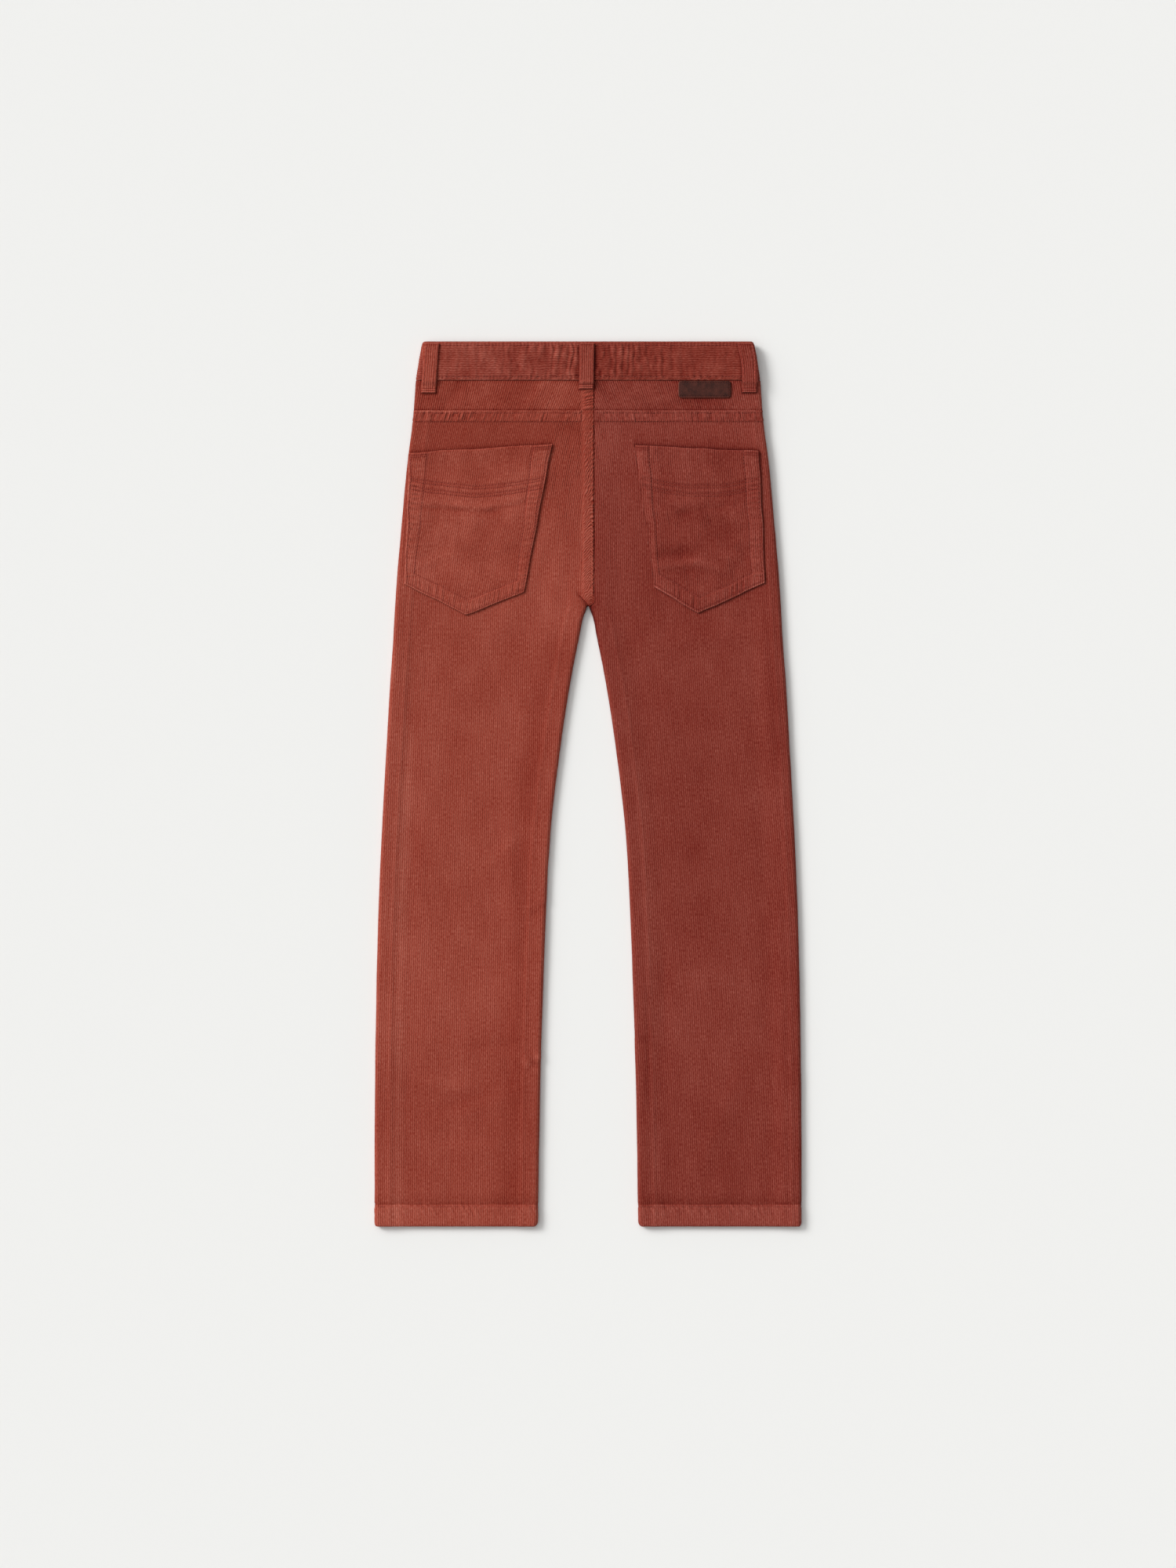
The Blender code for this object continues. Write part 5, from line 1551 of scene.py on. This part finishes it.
def node_maker(tree):
    """Short ways to fill a node's inputs and to add nodes to a tree."""

    def fill(made, inputs):
        """Sets a node's inputs to numbers or joins them to other nodes' outputs."""
        for key, value in inputs.items():
            if isinstance(value, bpy.types.NodeSocket):
                tree.links.new(value, made.inputs[key])
            else:
                made.inputs[key].default_value = value

    def node(kind, inputs=None, give=0, **settings):
        """One output, the first unless another is named, of a new node with its settings."""
        made = tree.nodes.new(f"ShaderNode{kind}")
        for key, value in settings.items():
            setattr(made, key, value)
        fill(made, inputs or {})
        return made.outputs[give]

    return node, fill


def new_material(name):
    """A material, the way to add nodes to it, and the way to fill its shader's inputs."""
    material = bpy.data.materials.new(name)
    material.use_nodes = True
    node, fill = node_maker(material.node_tree)
    shader = material.node_tree.nodes["Principled BSDF"]
    return material, node, lambda inputs: fill(shader, inputs)


def woven_in(node):
    """A piece's own Grain map and its tone attribute, with the painted light and shade in it."""
    tone = node("Attribute", give="Fac", attribute_name="Tone")
    return node("UVMap", uv_map="Grain"), tone


def pattern(node, coordinates, scale, detail=2.0, rough=0.5):
    """Noise of its own size in each direction, from 0 to 1."""
    placed = node("Mapping", {"Vector": coordinates, "Scale": scale})
    return node("TexNoise", {"Vector": placed, "Scale": 1.0, "Detail": detail, "Roughness": rough})


def weighted(node, start, *parts):
    """The sum of a number and of values, each less its middle and times its weight."""
    total = start
    for value, middle, weight in parts:
        scaled = node("Math", {0: value, 1: weight, 2: -middle * weight}, operation="MULTIPLY_ADD")
        total = node("Math", {0: scaled, 1: total}, operation="ADD")
    return total


NAP_STEP = (8.6, 10.4, 10.2)  # of 255: how much one step of tone lightens red, green and blue
NAP_STEPS = 8  # steps of the ramp each way from the cloth's own colour


def shifted(colour, steps_up):
    """A linear colour with its opacity, made lighter by steps of the nap's tone."""
    shown = [(1.055 * c ** (1 / 2.4) - 0.055) * 255 for c in colour]
    return (*linear(*(max(c + steps_up * step, 5.0) for c, step in zip(shown, NAP_STEP))), 1.0)


def lit(node, colour, light):
    """A colour made lighter or darker."""
    return node("MixRGB", {"Fac": 1.0, "Color1": colour, "Color2": light}, blend_type="MULTIPLY")


def bumped(node, strength, distance, height):
    """A relief too fine for the mesh."""
    return node("Bump", {"Strength": strength, "Distance": distance, "Height": height})


def corduroy(name, colour, contrast):
    """Cotton corduroy: ribs of cut pile with painted shade in their grooves and painted sheen on their tops,
    streaked along each rib, clouded where the nap lies differently, and soft at grazing angles. One ramp
    holds every tone of it, painted light and shade too, and the broad differences also darken it as a whole."""
    sizes = bpy.context.scene.trousers_sizes
    material, node, finish = new_material(name)
    grain, tone = woven_in(node)
    across = node("SeparateXYZ", {"Vector": grain})
    turned = node("Math", {0: across, 1: math.pi / sizes.rib_pitch}, operation="MULTIPLY")
    # ridge: a painted sheen on each rib's top and painted shade in its groove.
    ridge = node("Math", {0: node("Math", {0: turned}, operation="SINE")}, operation="ABSOLUTE")
    tufts = pattern(node, grain, (1300.0, 420.0, 1.0))
    streaks = pattern(node, grain, (560.0, 45.0, 1.0), 1.0)
    clouds = pattern(node, grain, (38.0, 26.0, 1.0), 3.0)
    one = 0.5 / NAP_STEPS
    dyed_and_shaded = node("ValToRGB", {"Fac": weighted(
        node, 0.5, (tone, 0.0, 0.7 * one), (ridge, 0.64, 2.6 * contrast * one),
        (tufts, 0.5, 8.0 * contrast * one), (streaks, 0.5, 1.9 * one), (clouds, 0.5, 2.0 * one),
    )})
    stops = dyed_and_shaded.node.color_ramp.elements
    stops[0].color, stops[1].color = shifted(colour, -NAP_STEPS), shifted(colour, NAP_STEPS)
    for step in range(2 - NAP_STEPS, NAP_STEPS, 2):
        stops.new(0.5 + step * one).color = shifted(colour, step)
    fibres = weighted(node, 0.0, (tufts, 0.5, 1.0), (streaks, 0.5, 0.4))
    finish({
        "Base Color": lit(node, dyed_and_shaded, weighted(node, 1.0, (tone, 0.0, 0.055))),
        "Normal": bumped(node, 0.5, 0.00025, fibres),
        "Roughness": 0.95,
        "Specular IOR Level": 0.2,
        "Sheen Weight": 0.12,
        "Sheen Roughness": 0.45,
        "Sheen Tint": (1.0, 0.5, 0.4, 1.0),
    })
    return material


def thread(name, colour):
    """Tonal sewing thread, twisted, with painted shade where it enters the cloth."""
    material, node, finish = new_material(name)
    grain, tone = woven_in(node)
    twist = pattern(node, grain, (2600.0, 900.0, 1.0), 1.0)
    light = weighted(node, 1.0, (twist, 0.5, 0.5), (tone, 0.0, 0.35))
    finish({
        "Base Color": lit(node, (*colour, 1.0), light),
        "Normal": bumped(node, 0.4, 0.0001, twist),
        "Roughness": 0.7,
        "Specular IOR Level": 0.25,
    })
    return material


def leather(name, colour):
    """Dark smooth leather with a fine grain, paler and rubbed along its cut rim."""
    material, node, finish = new_material(name)
    grain, tone = woven_in(node)
    pores = node("Mapping", {"Vector": grain, "Scale": (1500.0, 1500.0, 1.0)})
    cells = node("TexVoronoi", {"Vector": pores, "Scale": 1.0})
    mottled = pattern(node, grain, (160.0, 120.0, 1.0), 4.0)
    light = weighted(node, 1.0, (cells, 0.4, 0.8), (mottled, 0.5, 2.5), (tone, 0.0, 0.4))
    relief = weighted(node, 0.0, (cells, 0.4, 1.0), (mottled, 0.5, 0.6))
    finish({
        "Base Color": lit(node, (*colour, 1.0), light),
        "Normal": bumped(node, 0.45, 0.00012, relief),
        "Roughness": weighted(node, 0.55, (mottled, 0.5, 0.3)),
        "Specular IOR Level": 0.15,
    })
    return material


def metal(name, colour):
    """Brushed metal, a little worn."""
    material, node, finish = new_material(name)
    spot = node("TexCoord", give="Object")
    brushed = pattern(node, spot, (4000.0, 300.0, 300.0))
    worn = pattern(node, spot, (300.0, 300.0, 300.0), 3.0)
    light = weighted(node, 1.0, (brushed, 0.5, 0.2), (worn, 0.5, 0.35))
    finish({
        "Base Color": lit(node, (*colour, 1.0), light),
        "Normal": bumped(node, 0.2, 0.00005, brushed),
        "Roughness": weighted(node, 0.36, (worn, 0.5, 0.3)),
        "Metallic": 1.0,
    })
    return material


def material(name):
    """One of the garment's materials, made from the chosen colours the first time it is asked for."""
    if name in bpy.data.materials:
        return bpy.data.materials[name]
    colours = bpy.context.scene.trousers_colours
    make, *looks = {
        "corduroy_left": (corduroy, colours.cord_left_lit, 1.0),
        "corduroy_band": (corduroy, colours.cord_band, 0.85),
        "corduroy_right": (corduroy, colours.cord_right_shaded, 1.0),
        "sewing_thread": (thread, colours.thread),
        "patch_leather": (leather, colours.leather),
        "button_metal": (metal, colours.metal),
    }[name]
    return make(name, *looks)


def linear(red, green, blue):
    """A display colour of 0 to 255 as Blender's linear colour."""
    values = [c / 255 for c in (red, green, blue)]
    return tuple(((c + 0.055) / 1.055) ** 2.4 if c > 0.04 else c / 12.92 for c in values)


# ---------------------------------------------------------------- settings


def length_property(name, description, default, least, most):
    """A length setting, in metres."""
    return FloatProperty(name=name, description=description, default=default, min=least, max=most,
                         subtype="DISTANCE", unit="LENGTH", precision=5)


class TrousersSizes(bpy.types.PropertyGroup):
    """Sizes of the cloth, the sewing and the stage."""

    rib_pitch: length_property(
        "Rib pitch", "Distance from one rib of the corduroy to the next", 0.0018, 0.001, 0.006)
    rib_height: length_property(
        "Rib height", "Height of the pile above its grooves", 0.00028, 0.0, 0.001)
    stitch_length: length_property(
        "Stitch length", "Distance from one stitch to the next", 0.0027, 0.001, 0.006)
    thread_thick: length_property(
        "Thread", "Thickness of the sewing thread", 0.0006, 0.0002, 0.001)
    floor_side: length_property(
        "Floor", "Length of the floor's sides", 12.0, 2.0, 40.0)
    camera_height: length_property(
        "Camera height", "Height of the camera above the floor", 4.0, 1.0, 20.0)


def colour_property(name, description, colour):
    """A colour setting, given as a display colour."""
    return FloatVectorProperty(name=name, description=description, subtype="COLOR", size=3,
                               default=linear(*colour), min=0.0, max=1.0)


class TrousersColours(bpy.types.PropertyGroup):
    """Colours of the cloth, thread, leather, metal and floor."""

    # The left and right cloths are a lit and a shaded copy of one corduroy: painted light on the left half,
    # painted shade on the right.
    cord_left_lit: colour_property("Left cloth", "Corduroy whose nap lies towards the light", (148, 66, 51))
    cord_right_shaded: colour_property("Right cloth", "Corduroy whose nap lies away from it", (126, 50, 39))
    cord_band: colour_property("Waistband cloth", "Corduroy with its ribs lengthwise", (138, 61, 48))
    thread: colour_property("Thread", "Sewing thread", (145, 60, 48))
    leather: colour_property("Leather", "The patch below the waistband", (62, 29, 22))
    metal: colour_property("Metal", "The button at the waist", (170, 158, 140))
    floor: colour_property("Floor", "The plain floor", (237, 237, 235))


# ---------------------------------------------------------------- stage


def stage_floor(side, colour):
    """A plain square floor at the height on which the garment lies."""
    half = side / 2
    mesh = bpy.data.meshes.new("floor")
    mesh.from_pydata([(-half, -half, 0), (half, -half, 0), (half, half, 0), (-half, half, 0)],
                     [], [(0, 1, 2, 3)])
    paper, _, finish = new_material("floor_paper")
    finish({"Base Color": (*colour, 1.0), "Roughness": 0.95, "Specular IOR Level": 0.1})
    mesh.materials.append(paper)
    linked("floor", mesh)


# Each light: towards it, its strength, and how wide it is in degrees.
LIGHTS = {
    "key_light": ((-1.0, 0.62, 0.80), 2.3, 24.0),
    "fill_light": ((-1.0, 0.62, 1.9), 1.78, 100.0),
}
SKY_STRENGTH = 0.12  # overhead
WALL_STRENGTH = 0.7  # just above the horizon
WALL_TOP, SKY_FROM = 0.08, 0.3  # how high the wall is even, and where it has faded into the sky
VIEW_TALL = 1.3485  # what the camera sees of the floor, in metres
VIEW_CENTRE = (-0.00003, 0.00011)
LENS = 95.0


def stage_light():
    """A broad key light and a very wide fill from the upper left, and a surround that is a pale
    wall low down and dim overhead."""
    for name, (towards, strength, wide) in LIGHTS.items():
        light = bpy.data.lights.new(name, "SUN")
        light.energy = strength
        light.angle = math.radians(wide)
        linked(name, light).rotation_euler = Vector(towards).to_track_quat("Z", "Y").to_euler()
    world = bpy.data.worlds.new("surround")
    world.use_nodes = True
    node, fill = node_maker(world.node_tree)
    height = node("SeparateXYZ", {"Vector": node("TexCoord", give="Generated")}, "Z")
    fill(world.node_tree.nodes["Background"], {
        "Color": (1.0, 0.995, 0.985, 1.0),
        "Strength": node("MapRange", {
            "Value": height, "From Min": WALL_TOP, "From Max": SKY_FROM,
            "To Min": WALL_STRENGTH, "To Max": SKY_STRENGTH,
        }, interpolation_type="SMOOTHSTEP"),
    })
    bpy.context.scene.world = world


def stage_camera(height):
    """A long lens straight above, with the waist at the top of the picture. Its sensor's long side
    is the picture's height."""
    data = bpy.data.cameras.new("camera")
    data.sensor_width = LENS * VIEW_TALL / height
    data.lens = LENS
    data.clip_end = 100.0
    camera = linked("camera", data)
    camera.location = (*VIEW_CENTRE, height)
    bpy.context.scene.camera = camera


# ---------------------------------------------------------------- operators


class TrousersOperator:
    """What the operators share."""

    bl_options = {"REGISTER", "UNDO"}


class TROUSERS_OT_legs(TrousersOperator, bpy.types.Operator):
    """Make the four leg panels"""

    bl_idname = "trousers.legs"
    bl_label = "Legs"

    def execute(self, context):
        for side_name in SIDES:
            leg("back", side_name)
            leg("front", side_name)
        return {"FINISHED"}


class TROUSERS_OT_yokes(TrousersOperator, bpy.types.Operator):
    """Make the two back yokes"""

    bl_idname = "trousers.yokes"
    bl_label = "Yokes"

    def execute(self, context):
        for side_name in SIDES:
            yoke(side_name)
        return {"FINISHED"}


class TROUSERS_OT_centre_seam(TrousersOperator, bpy.types.Operator):
    """Make the felled centre back seam"""

    bl_idname = "trousers.centre_seam"
    bl_label = "Centre seam"

    def execute(self, context):
        centre_seam()
        return {"FINISHED"}


class TROUSERS_OT_waistband(TrousersOperator, bpy.types.Operator):
    """Make the gathered back waistband and the two front ones"""

    bl_idname = "trousers.waistband"
    bl_label = "Waistband"

    def execute(self, context):
        waistband_back()
        for side_name in SIDES:
            waistband_front(side_name)
        return {"FINISHED"}


class TROUSERS_OT_pockets(TrousersOperator, bpy.types.Operator):
    """Make the two back pockets"""

    bl_idname = "trousers.pockets"
    bl_label = "Pockets"

    def execute(self, context):
        for side_name in SIDES:
            pocket(side_name)
        return {"FINISHED"}


class TROUSERS_OT_belt_loops(TrousersOperator, bpy.types.Operator):
    """Make the three back and two front belt loops"""

    bl_idname = "trousers.belt_loops"
    bl_label = "Belt loops"

    def execute(self, context):
        for where, loop in BACK_LOOPS.items():
            tone, cord = LOOP_LOOKS[where]
            belt_loop(f"belt_loop_back_{where}", loop, LOOP_TOP_UP, tone, cord)
        for side_name, side in SIDES.items():
            along = side * FRONT_LOOP_ALONG
            dip = float(front_dip(along, BAND_BOTTOM_UP))
            loop = (along, along, BAND_BOTTOM_UP - dip - FRONT_LOOP_LOW, 0)
            belt_loop(f"belt_loop_front_{side_name}", loop, LOOP_TOP_UP - dip, 0,
                      f"corduroy_{side_name}")
        return {"FINISHED"}


class TROUSERS_OT_patch(TrousersOperator, bpy.types.Operator):
    """Make the leather patch"""

    bl_idname = "trousers.patch"
    bl_label = "Patch"

    def execute(self, context):
        leather_patch()
        return {"FINISHED"}


class TROUSERS_OT_fly(TrousersOperator, bpy.types.Operator):
    """Make the fly's flap and finish the button"""

    bl_idname = "trousers.fly"
    bl_label = "Fly and button"

    def execute(self, context):
        fly_flap()
        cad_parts["waist_button"].material_slots[0].material = material("button_metal")
        return {"FINISHED"}


class TROUSERS_OT_stitching(TrousersOperator, bpy.types.Operator):
    """Sew all the visible rows of stitches"""

    bl_idname = "trousers.stitching"
    bl_label = "Stitching"

    def execute(self, context):
        for sew in (seam_stitches, hem_stitches, band_stitches, loop_stitches, patch_stitches,
                    fly_stitches):
            sew()
        for side_name in SIDES:
            pocket_stitches(side_name)
        return {"FINISHED"}


class TROUSERS_OT_stage(TrousersOperator, bpy.types.Operator):
    """Set the plain floor, the soft light and the camera"""

    bl_idname = "trousers.stage"
    bl_label = "Floor, light and camera"

    def execute(self, context):
        sizes = context.scene.trousers_sizes
        stage_floor(sizes.floor_side, context.scene.trousers_colours.floor)
        stage_light()
        stage_camera(sizes.camera_height)
        context.scene.view_settings.view_transform = "Standard"
        return {"FINISHED"}


OPERATORS = (
    TROUSERS_OT_legs,
    TROUSERS_OT_yokes,
    TROUSERS_OT_centre_seam,
    TROUSERS_OT_waistband,
    TROUSERS_OT_pockets,
    TROUSERS_OT_belt_loops,
    TROUSERS_OT_patch,
    TROUSERS_OT_fly,
    TROUSERS_OT_stitching,
    TROUSERS_OT_stage,
)


class TROUSERS_PT_panel(bpy.types.Panel):
    """The trousers' pieces and settings"""

    bl_idname = "TROUSERS_PT_panel"
    bl_label = "Corduroy Trousers"
    bl_space_type = "VIEW_3D"
    bl_region_type = "UI"
    bl_category = "Trousers"

    def draw(self, context):
        for operator in OPERATORS:
            self.layout.operator(operator.bl_idname)
        for settings in (context.scene.trousers_sizes, context.scene.trousers_colours):
            for key in settings.__annotations__:
                self.layout.prop(settings, key)


CLASSES = (TrousersSizes, TrousersColours, *OPERATORS, TROUSERS_PT_panel)


def register():
    """Registers the settings, operators and panel."""
    for each in CLASSES:
        bpy.utils.register_class(each)
    bpy.types.Scene.trousers_sizes = PointerProperty(type=TrousersSizes)
    bpy.types.Scene.trousers_colours = PointerProperty(type=TrousersColours)


def unregister():
    """Takes them back."""
    del bpy.types.Scene.trousers_sizes
    del bpy.types.Scene.trousers_colours
    for each in reversed(CLASSES):
        bpy.utils.unregister_class(each)


def main():
    """Makes every piece and the stage."""
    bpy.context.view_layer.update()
    register()
    for make in ("legs", "yokes", "centre_seam", "waistband", "pockets", "belt_loops", "patch",
                 "fly", "stitching", "stage"):
        getattr(bpy.ops.trousers, make)()


if __name__ == "__main__":
    main()
